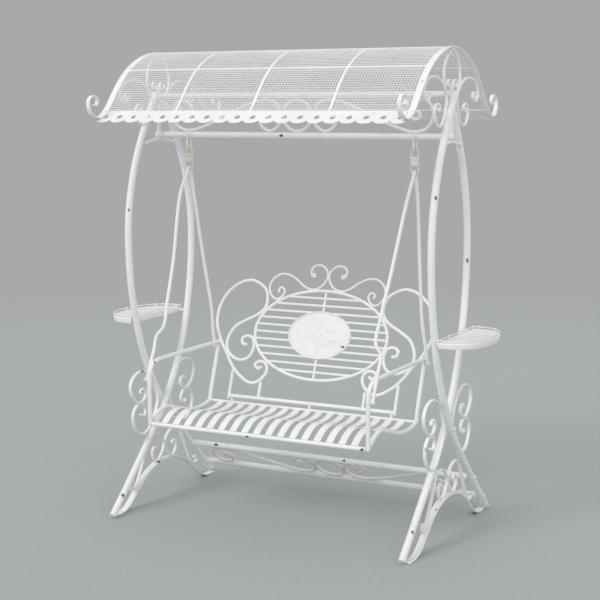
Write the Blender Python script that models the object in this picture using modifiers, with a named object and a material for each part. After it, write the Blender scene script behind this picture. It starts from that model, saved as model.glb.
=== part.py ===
# Garden swing bench with a mesh canopy and side trays
# Metres, +Z up, the front faces -Y, origin on the floor at the centre.

import math

import bmesh
import bpy
from mathutils import Vector

for old in list(bpy.data.objects):
    bpy.data.objects.remove(old, do_unlink=True)

# Driving dimensions
frame_height = 1.905
frame_half_width = 0.7285
back_half_width = 0.560
seat_depth = 0.530
seat_height = 0.4425
gap = 0.0003
weld_gap = 0.0005
upright_gap = 0.001
weld_overlap = 0.0008
cap_merge_distance = 0.000001

# Side frames: the upper beam's axis is at frame_height
leg_radius = 0.015
beam_radius = 0.0135
beam_spacing = 0.1775
lower_beam_overhang = 0.0135
post_radius = 0.009
post_drop = 0.037
brace_radius = 0.006
brace_end_clearance = 0.0165
brace_drop = 0.0185
upper_beam_z = frame_height
lower_beam_z = upper_beam_z - beam_spacing
post_top_z = upper_beam_z - post_drop

scroll_bar_width = 0.016
scroll_bar_thickness = 0.006
upper_bar_width = 0.012
upper_bar_thickness = 0.005
finial_bar_thickness = 0.004
foot_strip_width = 0.030
foot_strip_thickness = 0.005
arch_strip_width = 0.028
arch_strip_thickness = 0.005

# Scroll rows and stretchers
row_end_clearance = 0.0805
row_half_length = frame_half_width - row_end_clearance
row_rod_radius = 0.006
upper_stretcher_z = 0.195
lower_stretcher_z = 0.078

# Canopy
sheet_thickness = 0.002
sheet_depth_share = 0.2277
sheet_half_depth = sheet_depth_share * frame_height
rib_width = 0.012
rib_thickness = 0.004
canopy_rod_radius = 0.004
purlin_share = 0.1297
purlin_half_spread = purlin_share * frame_height
valance_thickness = 0.002
valance_slope_share = 0.65
valance_overhang = 0.006
valance_notch_drop = 0.052
valance_drop = 0.061
scallop_depth = 0.025
valance_hole_drop = 0.044
valance_hole_height = 0.017
valance_hole_width = 0.020

# Trays
tray_top_z = 0.885
tray_depth = 0.176
tray_half_length = 0.215
tray_skirt = 0.028
tray_plate = 0.002
tray_rail_height = 0.017
tray_rail_radius = 0.0026
tray_rail_inset = 0.004
tray_post_radius = 0.004
tray_floor_drop = 0.001
tray_floor_clearance = 0.001
tray_rim_width = tray_rail_inset + tray_post_radius + tray_floor_clearance
tray_spacer_radius = 0.006
tray_spacer_drop = 0.012

# Arms
arm_inset = 0.024
arm_rise = 0.2885
arm_radius = 0.009
arm_x = back_half_width - arm_inset
arm_z = seat_height + arm_rise

# Swivels, counted down from the lower beam
pivot_outset = 0.0285
pivot_x = arm_x + pivot_outset
strap_radius = 0.004
strap_drop = 0.0585
strap_bow_z = lower_beam_z - strap_drop
shackle_radius = 0.004
shackle_half_width = 0.014
shackle_drop = 0.029
block_radius = 0.0178
block_height = 0.036
lower_shackle_drop = 0.037
block_top_z = strap_bow_z - shackle_drop
block_bottom_z = block_top_z - block_height
seat_hinge_z = block_bottom_z - lower_shackle_drop
strap_bolt_radius = 0.0065
strap_bolt_length = 0.006

# Hanging rods
rod_radius = 0.007
rod_inset = 0.0125
rod_inner_x = arm_x - rod_inset
rod_bolt_radius = 0.009
rod_bolt_length = 0.007

# Seat
front_rail_radius = 0.0085
front_rail_share = -0.7689
front_rail_rise = 0.0065
side_rail_front_share = -0.7406
rear_rail_radius = 0.006
rear_rail_share = 0.2113
rear_rail_rise = 0.0165
under_rod_radius = 0.003
slat_width = 0.030
slat_thickness = 0.003
front_rail_y = front_rail_share * seat_depth
front_rail_z = seat_height + front_rail_rise
side_rail_front_y = side_rail_front_share * seat_depth
rear_rail_y = rear_rail_share * seat_depth
rear_rail_z = seat_height + rear_rail_rise

# Backrest, in a plane that leans back from a line over the rear rail
back_slope_share = 0.3568
back_lean = math.atan(back_slope_share)
back_base_offset = 0.0036
back_base_rise = 0.041
back_base_y = rear_rail_y + back_base_offset
back_base_z = rear_rail_z + back_base_rise
loop_radius = 0.007
ring_radius = 0.0055
ring_width_share = 0.6125
ring_height_share = 0.3786
ring_rise_share = 0.5593
ring_half_width = ring_width_share * back_half_width
ring_half_height = ring_height_share * back_half_width
ring_centre_rise = ring_rise_share * back_half_width
back_bar_radius = 0.0035
bar_pitch_share = 0.1660
back_bar_pitch = bar_pitch_share * ring_half_height
centre_bar_width = 0.010
centre_bar_thickness = 0.003
plaque_width_share = 0.4723
plaque_height_share = 0.5377
plaque_half_width = plaque_width_share * ring_half_width
plaque_half_height = plaque_height_share * ring_half_height
plaque_thickness = 0.006
top_scroll_radius = 0.0045
back_rail_radius = 0.0075
back_rail_share = 0.7679
back_rail_half_length = back_rail_share * back_half_width
back_rail_drop = 0.0095
back_leg_radius = 0.006
inner_leg_share = 0.4839
inner_leg_x = inner_leg_share * back_half_width
leg_drop = 0.024
steepest_share = 1.5
bracket_radius = 0.0055
bracket_offset = 0.0015

# Bolts
side_bolt_radius = 0.010
side_bolt_length = 0.008
crossing_bolt_radius = 0.009

# Counts
scallop_count = 20
net_columns = 12
net_rows = 9
slat_count = 17
back_bar_count = 11
tube_steps = 2
rod_steps = 1
square_steps = 0
clearing_passes = 3
tray_steps = 14
strap_steps = 8
ring_steps = 18
scallop_steps = 4
hole_steps = 4
backrest_ring_steps = 28
plaque_steps = 28
tray_post_points = (0, 3, 7, 11, 14)

# Side frame shapes as shares of frame_height, across the frame and up from the floor
leg_path_shares = (
    (-0.2430, 0.0060), (-0.1916, 0.0525), (-0.1365, 0.1050), (-0.0814, 0.1575),
    (-0.0357, 0.2047), (0.0026, 0.2520), (0.0436, 0.3150), (0.0709, 0.3675),
    (0.0919, 0.4199), (0.1071, 0.4724), (0.1186, 0.5249), (0.1260, 0.5774),
    (0.1297, 0.6299), (0.1297, 0.6824), (0.1239, 0.7349), (0.1118, 0.7874),
    (0.0945, 0.8399), (0.0693, 0.8924), (0.0394, 0.9449), (0.0000, 1.0058),
)

hoop_shares = (
    (0.0808, 0.9638), (0.0724, 0.9669), (0.0730, 0.9753), (0.0829, 0.9795),
    (0.0955, 0.9753), (0.1013, 0.9638), (0.0987, 0.9501), (0.0892, 0.9375),
    (0.0735, 0.9307), (0.0577, 0.9354), (0.0462, 0.9475), (0.0373, 0.9648),
    (0.0315, 0.9832), (0.0331, 0.9990), (0.0415, 1.0131), (0.0483, 1.0315),
    (0.0478, 1.0514), (0.0404, 1.0693), (0.0236, 1.0856),
)

upper_scroll_shares = (
    (0.0433, 1.0131), (0.0640, 1.0273), (0.0892, 1.0367), (0.1155, 1.0373),
    (0.1433, 1.0304), (0.1601, 1.0157), (0.1646, 0.9995), (0.1575, 0.9879),
    (0.1428, 0.9848), (0.1307, 0.9916), (0.1307, 1.0016), (0.1407, 1.0052),
    (0.1465, 1.0000),
)

end_arch_shares = (
    (0.0000, 1.1034), (0.0367, 1.0997), (0.0787, 1.0871), (0.1181, 1.0677),
    (0.1496, 1.0451), (0.1748, 1.0210), (0.1958, 0.9969), (0.2178, 0.9722),
    (0.2388, 0.9559), (0.2598, 0.9496), (0.2793, 0.9564), (0.2903, 0.9711),
    (0.2919, 0.9869), (0.2808, 0.9979), (0.2656, 0.9984), (0.2567, 0.9890),
    (0.2604, 0.9795),
)

crossing_scroll_shares = (
    (0.0997, 0.2850), (0.0866, 0.2861), (0.0787, 0.2730), (0.0903, 0.2583),
    (0.1144, 0.2567), (0.1375, 0.2751), (0.1465, 0.2982), (0.1375, 0.3181),
    (0.1165, 0.3297), (0.0924, 0.3318), (0.0672, 0.3234), (0.0546, 0.3139),
    (0.0367, 0.2861), (0.0262, 0.2546), (0.0325, 0.2299), (0.0504, 0.2037),
    (0.0703, 0.1827), (0.0955, 0.1745), (0.1197, 0.1848), (0.1339, 0.2047),
    (0.1370, 0.2273), (0.1260, 0.2457), (0.1076, 0.2525), (0.0892, 0.2467),
    (0.0814, 0.2336), (0.0866, 0.2210), (0.0987, 0.2194),
)

foot_arch_shares = (
    (0.0000, 0.0929), (0.0262, 0.0913), (0.0525, 0.0856), (0.0735, 0.0777),
    (0.0945, 0.0667), (0.1129, 0.0541), (0.1312, 0.0399), (0.1496, 0.0252),
    (0.1669, 0.0131), (0.1848, 0.0047), (0.2047, 0.0013), (0.2342, 0.0013),
)

foot_scroll_shares = (
    (0.0378, 0.1276), (0.0483, 0.1291), (0.0551, 0.1186), (0.0509, 0.1034),
    (0.0357, 0.0937), (0.0199, 0.1003), (0.0084, 0.1134), (0.0012, 0.1312),
    (0.0147, 0.1512), (0.0341, 0.1612), (0.0567, 0.1622), (0.0719, 0.1543),
    (0.0814, 0.1375), (0.0919, 0.1165), (0.1066, 0.0892), (0.1218, 0.0630),
    (0.1375, 0.0472), (0.1512, 0.0483), (0.1538, 0.0593), (0.1454, 0.0640),
)

finial_shares = (
    (0.0006, 1.0076), (0.0031, 1.0163), (0.0073, 1.0273), (0.0163, 1.0331),
    (0.0257, 1.0283), (0.0268, 1.0194), (0.0189, 1.0157),
)

row_scroll_shares = (
    (0.8858, 0.1367), (0.9074, 0.0504), (0.8951, -0.0935), (0.8596, -0.1007),
    (0.8380, 0.0791), (0.8565, 0.3525), (0.9182, 0.5000), (0.9799, 0.3525),
    (1.0000, 0.0072), (0.9568, -0.3741), (0.8673, -0.5000), (0.7716, -0.4101),
    (0.6528, -0.2014), (0.4799, 0.1727), (0.3441, 0.4173), (0.2423, 0.5000),
    (0.1620, 0.3813), (0.1265, 0.0432), (0.1466, -0.3309), (0.2114, -0.5000),
    (0.2747, -0.3669), (0.2932, -0.1367), (0.2623, 0.0216), (0.2269, -0.0647),
    (0.2330, -0.1942),
)

loop_shares = (
    (0.5321, 0.2351), (0.5643, 0.2692), (0.5214, 0.2977), (0.4625, 0.2806),
    (0.4446, 0.2180), (0.4946, 0.1403), (0.5768, 0.1062), (0.6964, 0.1612),
    (0.7911, 0.2503), (0.8571, 0.3470), (0.9268, 0.4380), (0.9643, 0.5119),
    (0.9946, 0.5878), (1.0036, 0.6826), (0.9857, 0.7774), (0.9429, 0.8627),
    (0.8750, 0.9348), (0.8036, 0.9765), (0.7143, 0.9935), (0.6286, 0.9632),
    (0.5696, 0.9177), (0.5446, 0.8570), (0.5482, 0.7679), (0.6089, 0.7015),
    (0.7143, 0.6428), (0.8125, 0.5783), (0.8607, 0.4930), (0.8679, 0.4171),
    (0.8268, 0.3413), (0.7321, 0.2958), (0.6518, 0.3129), (0.6107, 0.3735),
    (0.6036, 0.4418), (0.6286, 0.4930), (0.6839, 0.5063), (0.7250, 0.4797),
    (0.7143, 0.4399),
)

top_scroll_shares = (
    (0.1286, 1.0751), (0.1268, 1.0542), (0.1536, 1.0656), (0.1652, 1.1111),
    (0.1411, 1.1471), (0.0929, 1.1585), (0.0357, 1.1320), (0.0054, 1.0751),
    (0.0286, 1.0049), (0.0804, 0.9575), (0.1446, 0.9452), (0.2089, 0.9670),
    (0.3000, 1.0296), (0.3696, 1.0599), (0.4393, 1.0637), (0.5107, 1.0201),
    (0.5393, 0.9480), (0.5125, 0.8760), (0.4554, 0.8428), (0.4027, 0.8788),
    (0.3920, 0.9234), (0.4232, 0.9499), (0.4464, 0.9291),
)

# Across the seat and up from seat_height
seat_profile_shares = (
    (0.1972, 0.0321), (0.1132, 0.0085), (0.0000, 0.0000), (-0.1509, 0.0142),
    (-0.3019, 0.0528), (-0.4340, 0.0943), (-0.5472, 0.1132), (-0.6509, 0.0877),
    (-0.7509, 0.0279),
)

# Hanging rods: blend from the pivot line to the arm line, share of seat_depth across,
# share of the way up from the arm to the seat hinge
front_rod_shares = (
    (0.0000, -0.1509, 0.8780), (0.6000, -0.3585, 0.5144), (0.9000, -0.4962, 0.3098),
    (1.0000, -0.5792, 0.1722),
)
front_rod_end_shares = (
    (-0.6000, 0.1244), (-0.6472, 0.0526), (-0.7019, -0.0191), (-0.7670, -0.1089),
)
rear_rod_shares = (
    (0.0000, 0.0642, 0.8780), (0.3000, 0.1849, 0.4833), (0.5000, 0.2830, 0.2022),
)
rear_rod_end_shares = (
    (0.3358, 0.0474), (0.3453, 0.0212), (0.3623, -0.0312),
)

# Arm tube from the foot of the front post to the rear end: share of seat_depth across,
# share of the way up from the front rail to the arm
arm_path_shares = (
    (-0.7679, -0.0266), (-0.7679, 0.7660), (-0.7509, 0.8794), (-0.7038, 0.9610),
    (-0.6321, 0.9947), (-0.5660, 1.0000), (0.3774, 1.0000),
)

# Upper end of the seat side rail, from under the arm down to the seat
rear_post_shares = (
    (0.3781, 0.9560), (0.2292, 0.1809), (0.2113, 0.0496), (0.1698, 0.0163),
)

# Plan shape and holes
tray_squareness = 2.6
brace_power = 1.5
tray_post_shares = (-0.35, 0.35)
rib_shares = (-0.5, 0.0, 0.5)
net_bar_share = 0.244
cross_rod_shares = (-0.19, -0.47)

# Collections
piece_collection = bpy.data.collections.new("garden_swing_bench")
bpy.context.scene.collection.children.link(piece_collection)

paint_white = (0.83, 0.82, 0.79)
paint_warm = (0.78, 0.75, 0.68)
paint_shade = (0.70, 0.68, 0.63)
paint_roughness = 0.42


def paint(name, colour):
    made = bpy.data.materials.new(name)
    made.use_nodes = True
    shader = made.node_tree.nodes["Principled BSDF"]
    shader.inputs["Base Color"].default_value = (*colour, 1.0)
    shader.inputs["Roughness"].default_value = paint_roughness
    shader.inputs["Metallic"].default_value = 0.0
    return made


def node(name, made, colour=paint_white, axis=None):
    # Names a finished piece, paints it, and hangs it on a joint's axis if it moves
    made.name = name
    made.data.name = name
    made.data.materials.clear()
    made.data.materials.append(paint(name + "_paint", colour))
    for collection in list(made.users_collection):
        collection.objects.unlink(made)
    piece_collection.objects.link(made)
    if axis is not None:
        made.parent = axis
        made.location = made.location - axis.location
    return made


# Planes that the flat curves are drawn in
side_plane = (math.radians(90), 0.0, math.radians(90))
front_plane = (math.radians(90), 0.0, 0.0)
back_plane = (math.radians(90) - back_lean, 0.0, 0.0)
back_origin = Vector((0.0, back_base_y, back_base_z))
centre = (0.0, 0.0, 0.0)


def curve_object(name, dimensions, paths, closed):
    curve = bpy.data.curves.new(name, "CURVE")
    curve.dimensions = dimensions
    for path in paths:
        spline = curve.splines.new("POLY")
        spline.points.add(len(path) - 1)
        for point, place in zip(spline.points, path):
            place = tuple(place)
            point.co = (*place, *(0.0,) * (3 - len(place)), 1.0)
        spline.use_cyclic_u = closed
    made = bpy.data.objects.new(name, curve)
    bpy.context.scene.collection.objects.link(made)
    return made


def rods(paths, radius, plane=centre, place=centre, detail=rod_steps, closed=False):
    # Round bars along the paths
    made = curve_object("rods", "3D", paths, closed)
    made.data.fill_mode = "FULL"
    made.data.bevel_depth = radius
    made.data.bevel_resolution = detail
    made.data.use_fill_caps = True
    made.rotation_euler = plane
    made.location = place
    return made


def flat_bars(paths, width, thickness, plane, place=centre):
    # Flat bars bent along the paths, with their width across the plane
    made = curve_object("bars", "2D", paths, False)
    made.data.fill_mode = "NONE"
    made.data.extrude = width / 2
    made.rotation_euler = plane
    made.location = place
    solid = made.modifiers.new("thickness", "SOLIDIFY")
    solid.thickness = thickness
    solid.offset = 0.0
    return made


def plate(outlines, thickness, plane, place):
    made = curve_object("plate", "2D", outlines, True)
    made.data.fill_mode = "BOTH"
    made.data.extrude = thickness / 2
    made.rotation_euler = plane
    made.location = place
    return made


def cylinder(place, radius, length, axis, sides=8):
    turn = {"X": (0.0, math.radians(90), 0.0), "Y": (math.radians(90), 0.0, 0.0), "Z": centre}
    bpy.ops.mesh.primitive_cylinder_add(vertices=sides, radius=radius, depth=length,
                                        location=place, rotation=turn[axis])
    return bpy.context.object


def as_mesh(piece):
    # The piece as a plain mesh, with its caps welded on
    bpy.context.view_layer.update()
    graph = bpy.context.evaluated_depsgraph_get()
    mesh = bpy.data.meshes.new_from_object(piece.evaluated_get(graph))
    shape = bmesh.new()
    shape.from_mesh(mesh)
    bmesh.ops.remove_doubles(shape, verts=shape.verts, dist=cap_merge_distance)
    shape.to_mesh(mesh)
    shape.free()
    made = bpy.data.objects.new(piece.name, mesh)
    bpy.context.scene.collection.objects.link(made)
    made.matrix_world = piece.matrix_world
    bpy.data.objects.remove(piece, do_unlink=True)
    return made


def gathered(pieces):
    # Several pieces as one mesh in world space
    pieces = [as_mesh(piece) for piece in pieces]
    bpy.ops.object.select_all(action="DESELECT")
    for piece in pieces:
        piece.select_set(True)
    bpy.context.view_layer.objects.active = pieces[0]
    bpy.ops.object.transform_apply(location=True, rotation=True, scale=True)
    bpy.ops.object.join()
    return bpy.context.object


def welded(first, second):
    # Two pieces that bite into each other, welded into one body
    first = as_mesh(first)
    second = as_mesh(second)
    union = first.modifiers.new("weld", "BOOLEAN")
    union.operation = "UNION"
    union.object = second
    made = as_mesh(first)
    bpy.data.objects.remove(second, do_unlink=True)
    return made


# Paths
def scaled(shares, length):
    return [Vector([share * length for share in row]) for row in shares]


def nearest(point, path):
    best = None
    for start, end in zip(path[:-1], path[1:]):
        along = end - start
        share = (point - start).dot(along) / along.length_squared
        spot = start + along * min(1.0, max(0.0, share))
        distance = (point - spot).length
        if best is None or distance < best[0]:
            best = (distance, spot)
    return best


def keep_clear(path, obstacles):
    # Moves each point that is too near an obstacle straight out to the wanted reach
    result = [point.copy() for point in path]
    for _pass in range(clearing_passes):
        for index, point in enumerate(result):
            for obstacle, reach in obstacles:
                distance, spot = nearest(point, obstacle)
                if distance < reach:
                    point = spot + (point - spot).normalized() * reach
            result[index] = point
    return result


def touching(path, obstacles):
    # Brings the point that is nearest each obstacle to the wanted reach
    result = [point.copy() for point in path]
    for obstacle, reach in obstacles:
        index = min(range(len(result)), key=lambda i: nearest(result[i], obstacle)[0])
        spot = nearest(result[index], obstacle)[1]
        result[index] = spot + (result[index] - spot).normalized() * reach
    return result


def mirrored(path):
    return [Vector((-point.x, point.y)) for point in path]


def whole(half):
    # A symmetric path from the half that starts on the centre line
    return list(reversed(mirrored(half[1:]))) + list(half)


def arc(middle, radius, start, end, steps):
    points = []
    for step in range(steps + 1):
        angle = math.radians(start + (end - start) * step / steps)
        points.append(Vector((middle[0] + radius * math.cos(angle),
                              middle[1] + radius * math.sin(angle))))
    return points


def ellipse(middle, half_width, half_height, steps):
    points = []
    for step in range(steps):
        angle = 2 * math.pi * step / steps
        points.append(Vector((middle[0] + half_width * math.cos(angle),
                              middle[1] + half_height * math.sin(angle))))
    return points


def height_on(path, x):
    # Where the path passes x, counted from its start
    for start, end in zip(path[:-1], path[1:]):
        low, high = sorted((start.x, end.x))
        if low <= x <= high and high > low:
            return start.y + (end.y - start.y) * (x - start.x) / (end.x - start.x)
    return path[-1].y


def reach_at(path, height):
    # How far out the path is where it passes a height, counted from its start
    for start, end in zip(path[:-1], path[1:]):
        if start.y <= height <= end.y:
            return start.x + (end.x - start.x) * (height - start.y) / (end.y - start.y)
    return path[-1].x


def shifted(path, distance):
    # The path moved by a distance towards its lower side
    result = []
    last = len(path) - 1
    for index, point in enumerate(path):
        along = path[min(last, index + 1)] - path[max(0, index - 1)]
        result.append(point + Vector((along.y, -along.x)).normalized() * distance)
    return result


# Side frames
leg_offset = leg_radius + gap / 2
front_leg = scaled(leg_path_shares, frame_height)
rear_leg = mirrored(front_leg)
octagon_slope = math.tan(math.radians(22.5))


def leg_reach(width, thickness):
    # Distance from a leg's axis at which a flat bar of this width just touches the leg
    covered = max(0.0, leg_offset - width / 2)
    return leg_radius - covered * octagon_slope + thickness / 2 + weld_gap


upper_reach = leg_reach(upper_bar_width, upper_bar_thickness)
scroll_reach = leg_reach(scroll_bar_width, scroll_bar_thickness)
strip_reach = leg_reach(foot_strip_width, foot_strip_thickness)

end_arch = whole(scaled(end_arch_shares, frame_height))
arch_top_z = max(point.y for point in end_arch)

hoop_apex_z = arch_top_z - arch_strip_thickness / 2 - upper_bar_thickness / 2 - weld_gap
hoop_half = scaled(hoop_shares, frame_height)
hoop_half = keep_clear(hoop_half, [(front_leg, upper_reach), (rear_leg, upper_reach)])
hoop = whole([Vector((0.0, hoop_apex_z))] + hoop_half[::-1])

upper_scroll = scaled(upper_scroll_shares, frame_height)
upper_scroll = keep_clear(upper_scroll, [(hoop, upper_bar_thickness - weld_overlap)])

legs_at_scroll = [(front_leg, scroll_reach), (rear_leg, scroll_reach)]
crossing_scroll = keep_clear(scaled(crossing_scroll_shares, frame_height), legs_at_scroll)
crossing_scroll = touching(crossing_scroll, legs_at_scroll)

foot_arch = whole(keep_clear(scaled(foot_arch_shares, frame_height), [(rear_leg, strip_reach)]))

centre_line = [Vector((0.0, 0.0)), Vector((0.0, frame_height))]
foot_scroll_rests = [
    (rear_leg, scroll_reach),
    (foot_arch, foot_strip_thickness / 2 + scroll_bar_thickness / 2 + weld_gap),
    (centre_line, scroll_bar_thickness / 2 - weld_overlap),
]
foot_scroll = keep_clear(scaled(foot_scroll_shares, frame_height), foot_scroll_rests)
foot_scroll = touching(foot_scroll, foot_scroll_rests)

finial = scaled(finial_shares, frame_height)
finial = keep_clear(finial, [(centre_line, finial_bar_thickness / 2 - weld_overlap)])

brace_top_z = lower_beam_z - beam_radius - brace_radius - weld_gap
brace_reach = reach_at(front_leg, brace_top_z - brace_drop) - brace_end_clearance
brace = [Vector((across * brace_reach, brace_top_z - abs(across) ** brace_power * brace_drop))
         for across in (-1, -0.5, 0, 0.5, 1)]

tray_chord_x = frame_half_width + leg_offset + leg_radius + gap
spacer_z = tray_top_z - tray_spacer_drop


def tray_outline(inset):
    # Straight side along the frame and a rounded side outwards, as (outwards, along)
    points = []
    for step in range(tray_steps + 1):
        angle = math.pi * (step / tray_steps - 0.5)
        across = max(0.0, math.cos(angle)) ** (2 / tray_squareness)
        along = math.copysign(abs(math.sin(angle)) ** (2 / tray_squareness), math.sin(angle))
        points.append(Vector((inset + (tray_depth - 2 * inset) * across,
                              (tray_half_length - inset) * along)))
    return points


def tray(side):
    # A sheet dish turned upside down with a sunk floor, and a distance sleeve to the inner tube
    rings = [(tray_outline(tray_rim_width + tray_floor_drop), tray_top_z - tray_floor_drop),
             (tray_outline(tray_rim_width), tray_top_z), (tray_outline(0.0), tray_top_z),
             (tray_outline(0.0), tray_top_z - tray_skirt),
             (tray_outline(tray_plate), tray_top_z - tray_skirt),
             (tray_outline(tray_plate), tray_top_z - tray_plate)]
    shape = bmesh.new()
    rows = [[shape.verts.new((side * (tray_chord_x + point.x), point.y, z)) for point in ring]
            for ring, z in rings]
    for upper, lower in zip(rows[:-1], rows[1:]):
        for index in range(len(upper)):
            shape.faces.new((upper[index - 1], upper[index], lower[index], lower[index - 1]))
    shape.faces.new(rows[0])
    shape.faces.new(rows[-1])
    bmesh.ops.recalc_face_normals(shape, faces=shape.faces)
    mesh = bpy.data.meshes.new("dish")
    shape.to_mesh(mesh)
    shape.free()
    dish = bpy.data.objects.new("dish", mesh)
    bpy.context.scene.collection.objects.link(dish)
    start = frame_half_width + gap / 2 + gap
    end = tray_chord_x + tray_plate - weld_overlap
    sleeve = cylinder((side * (start + end) / 2, reach_at(front_leg, spacer_z), spacer_z),
                      tray_spacer_radius, end - start, "X")
    return welded(dish, sleeve)


def tray_rail(side):
    # A thin rail round the tray, on short posts
    outline = [Vector((side * (tray_chord_x + point.x), point.y, tray_rail_height))
               for point in tray_outline(tray_rail_inset)]
    chord_x = side * (tray_chord_x + tray_rail_inset)
    feet = [outline[index] for index in tray_post_points]
    feet += [Vector((chord_x, share * tray_half_length, tray_rail_height))
             for share in tray_post_shares]
    place = (0.0, 0.0, tray_top_z + gap)
    rail = rods([outline], tray_rail_radius, place=place, detail=square_steps, closed=True)
    posts = rods([[(foot.x, foot.y, 0.0), foot] for foot in feet], tray_post_radius, place=place,
                 detail=square_steps)
    return welded(rail, posts)


side_bolt_x = frame_half_width + leg_offset + leg_radius + gap + side_bolt_length / 2
crossing_z = height_on(front_leg, 0.0)
stretcher_places = {"upper": (reach_at(rear_leg, upper_stretcher_z), upper_stretcher_z),
                    "lower": (reach_at(rear_leg, lower_stretcher_z), lower_stretcher_z)}
strap_y = beam_radius + strap_radius + gap


def hanger_strap(side):
    # A rod bent to a U round the lower beam, with a bolt head on each leg
    bow = arc((0.0, strap_bow_z + strap_y), strap_y, 180, 360, strap_steps)
    line = [Vector((-strap_y, lower_beam_z))] + bow + [Vector((strap_y, lower_beam_z))]
    strap = rods([[(side * pivot_x, point.x, point.y) for point in line]], strap_radius)
    bolt_y = strap_y + strap_radius - weld_overlap + strap_bolt_length / 2
    heads = [cylinder((side * pivot_x, facing * bolt_y, lower_beam_z - strap_radius),
                      strap_bolt_radius, strap_bolt_length, "Y", 6) for facing in sides]
    return welded(strap, gathered(heads))


sides = (-1, 1)
side_names = {-1: "left_", 1: "right_"}
for side in sides:
    label = side_names[side]
    middle = (side * frame_half_width, 0.0, 0.0)
    inner = (side * (frame_half_width - leg_offset), 0.0, 0.0)
    outer = (side * (frame_half_width + leg_offset), 0.0, 0.0)
    node(label + "front_foot_tube",
         rods([front_leg], leg_radius, side_plane, inner, tube_steps))
    crossing_bolt = cylinder((side * (side_bolt_x - weld_gap), 0.0, crossing_z),
                             crossing_bolt_radius, side_bolt_length, "X")
    node(label + "rear_foot_tube",
         welded(rods([rear_leg], leg_radius, side_plane, outer, tube_steps), crossing_bolt))
    node(label + "upper_scrollwork",
         welded(flat_bars([hoop], upper_bar_width, upper_bar_thickness, side_plane, middle),
                flat_bars([upper_scroll, mirrored(upper_scroll)], upper_bar_width,
                          upper_bar_thickness, side_plane, middle)))
    node(label + "end_arch",
         flat_bars([end_arch], arch_strip_width, arch_strip_thickness, side_plane, middle))
    for facing, path in (("front_", mirrored(crossing_scroll)), ("rear_", crossing_scroll)):
        node(label + facing + "crossing_scroll",
             flat_bars([path], scroll_bar_width, scroll_bar_thickness, side_plane, middle))
    node(label + "foot_arch",
         flat_bars([foot_arch], foot_strip_width, foot_strip_thickness, side_plane, middle))
    node(label + "foot_scrolls",
         welded(flat_bars([foot_scroll], scroll_bar_width, scroll_bar_thickness,
                          side_plane, middle),
                flat_bars([mirrored(foot_scroll)], scroll_bar_width, scroll_bar_thickness,
                          side_plane, middle)))
    node(label + "tray", tray(side))
    node(label + "tray_rail", tray_rail(side))
    node(label + "centre_post",
         rods([[(middle[0], 0.0, lower_beam_z + beam_radius + gap),
                (middle[0], 0.0, post_top_z)]], post_radius, detail=tube_steps))
    node(label + "arch_brace", rods([brace], brace_radius, side_plane, middle))
    node(label + "top_finials",
         welded(flat_bars([finial], upper_bar_width, finial_bar_thickness, side_plane, middle),
                flat_bars([mirrored(finial)], upper_bar_width, finial_bar_thickness,
                          side_plane, middle)))
    node(label + "hanger_strap", hanger_strap(side))
    for level, (y, z) in stretcher_places.items():
        node(label + level + "_stretcher_bolt",
             cylinder((side * side_bolt_x, y, z), side_bolt_radius, side_bolt_length, "X"))


# Beams and stretchers
def cross_tube(end_x, y, z):
    return rods([[(-end_x, y, z), (end_x, y, z)]], beam_radius, detail=tube_steps)


def scroll_row(place, plane, span, up):
    # Scroll, ring and scroll between two parallel tubes whose axes are span apart
    height = span - 2 * (beam_radius + row_rod_radius + weld_gap)
    scroll = [Vector((x * row_half_length, up * y * height)) for x, y in row_scroll_shares]
    nearest_x = min(point.x for point in scroll)
    ring_reach = nearest_x - 2 * row_rod_radius + 2 * weld_overlap
    ring = ellipse((0.0, 0.0), ring_reach, height / 2, ring_steps)
    return welded(rods([ring], row_rod_radius, plane, place, square_steps, True),
                  rods([scroll, mirrored(scroll)], row_rod_radius, plane, place, square_steps))


node("upper_beam", cross_tube(frame_half_width - leg_offset - leg_radius - gap, 0.0,
                              upper_beam_z), paint_warm)
node("lower_beam", cross_tube(frame_half_width + lower_beam_overhang, 0.0, lower_beam_z),
     paint_warm)
stretcher_end_x = frame_half_width + leg_offset - leg_radius - gap
for level, (y, z) in stretcher_places.items():
    node(level + "_stretcher", cross_tube(stretcher_end_x, y, z))

node("upper_beam_scrolls",
     scroll_row((0.0, 0.0, (upper_beam_z + lower_beam_z) / 2), front_plane,
                upper_beam_z - lower_beam_z, 1), paint_warm)
low = Vector(stretcher_places["lower"])
high = Vector(stretcher_places["upper"])
slant = high - low
node("stretcher_scrolls",
     scroll_row((0.0, *((low + high) / 2)), (math.atan2(slant.y, slant.x), 0.0, 0.0),
                slant.length, -1), paint_warm)

# Canopy
arch_half = end_arch[len(end_arch) // 2:]
sheet_half = [point for point in arch_half if point.x < sheet_half_depth]
sheet_half.append(Vector((sheet_half_depth, height_on(arch_half, sheet_half_depth))))
sheet_path = whole(sheet_half)
sheet_half_length = frame_half_width - arch_strip_width / 2 - gap


def grid_lines(length, count):
    # Where the bars of a plain grid start and end
    pitch = length / (count + net_bar_share)
    return [(index + share) * pitch for index in range(count + 1) for share in (0, net_bar_share)]


def is_bar(lines, place):
    return any(start < place < end for start, end in zip(lines[::2], lines[1::2]))


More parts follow.
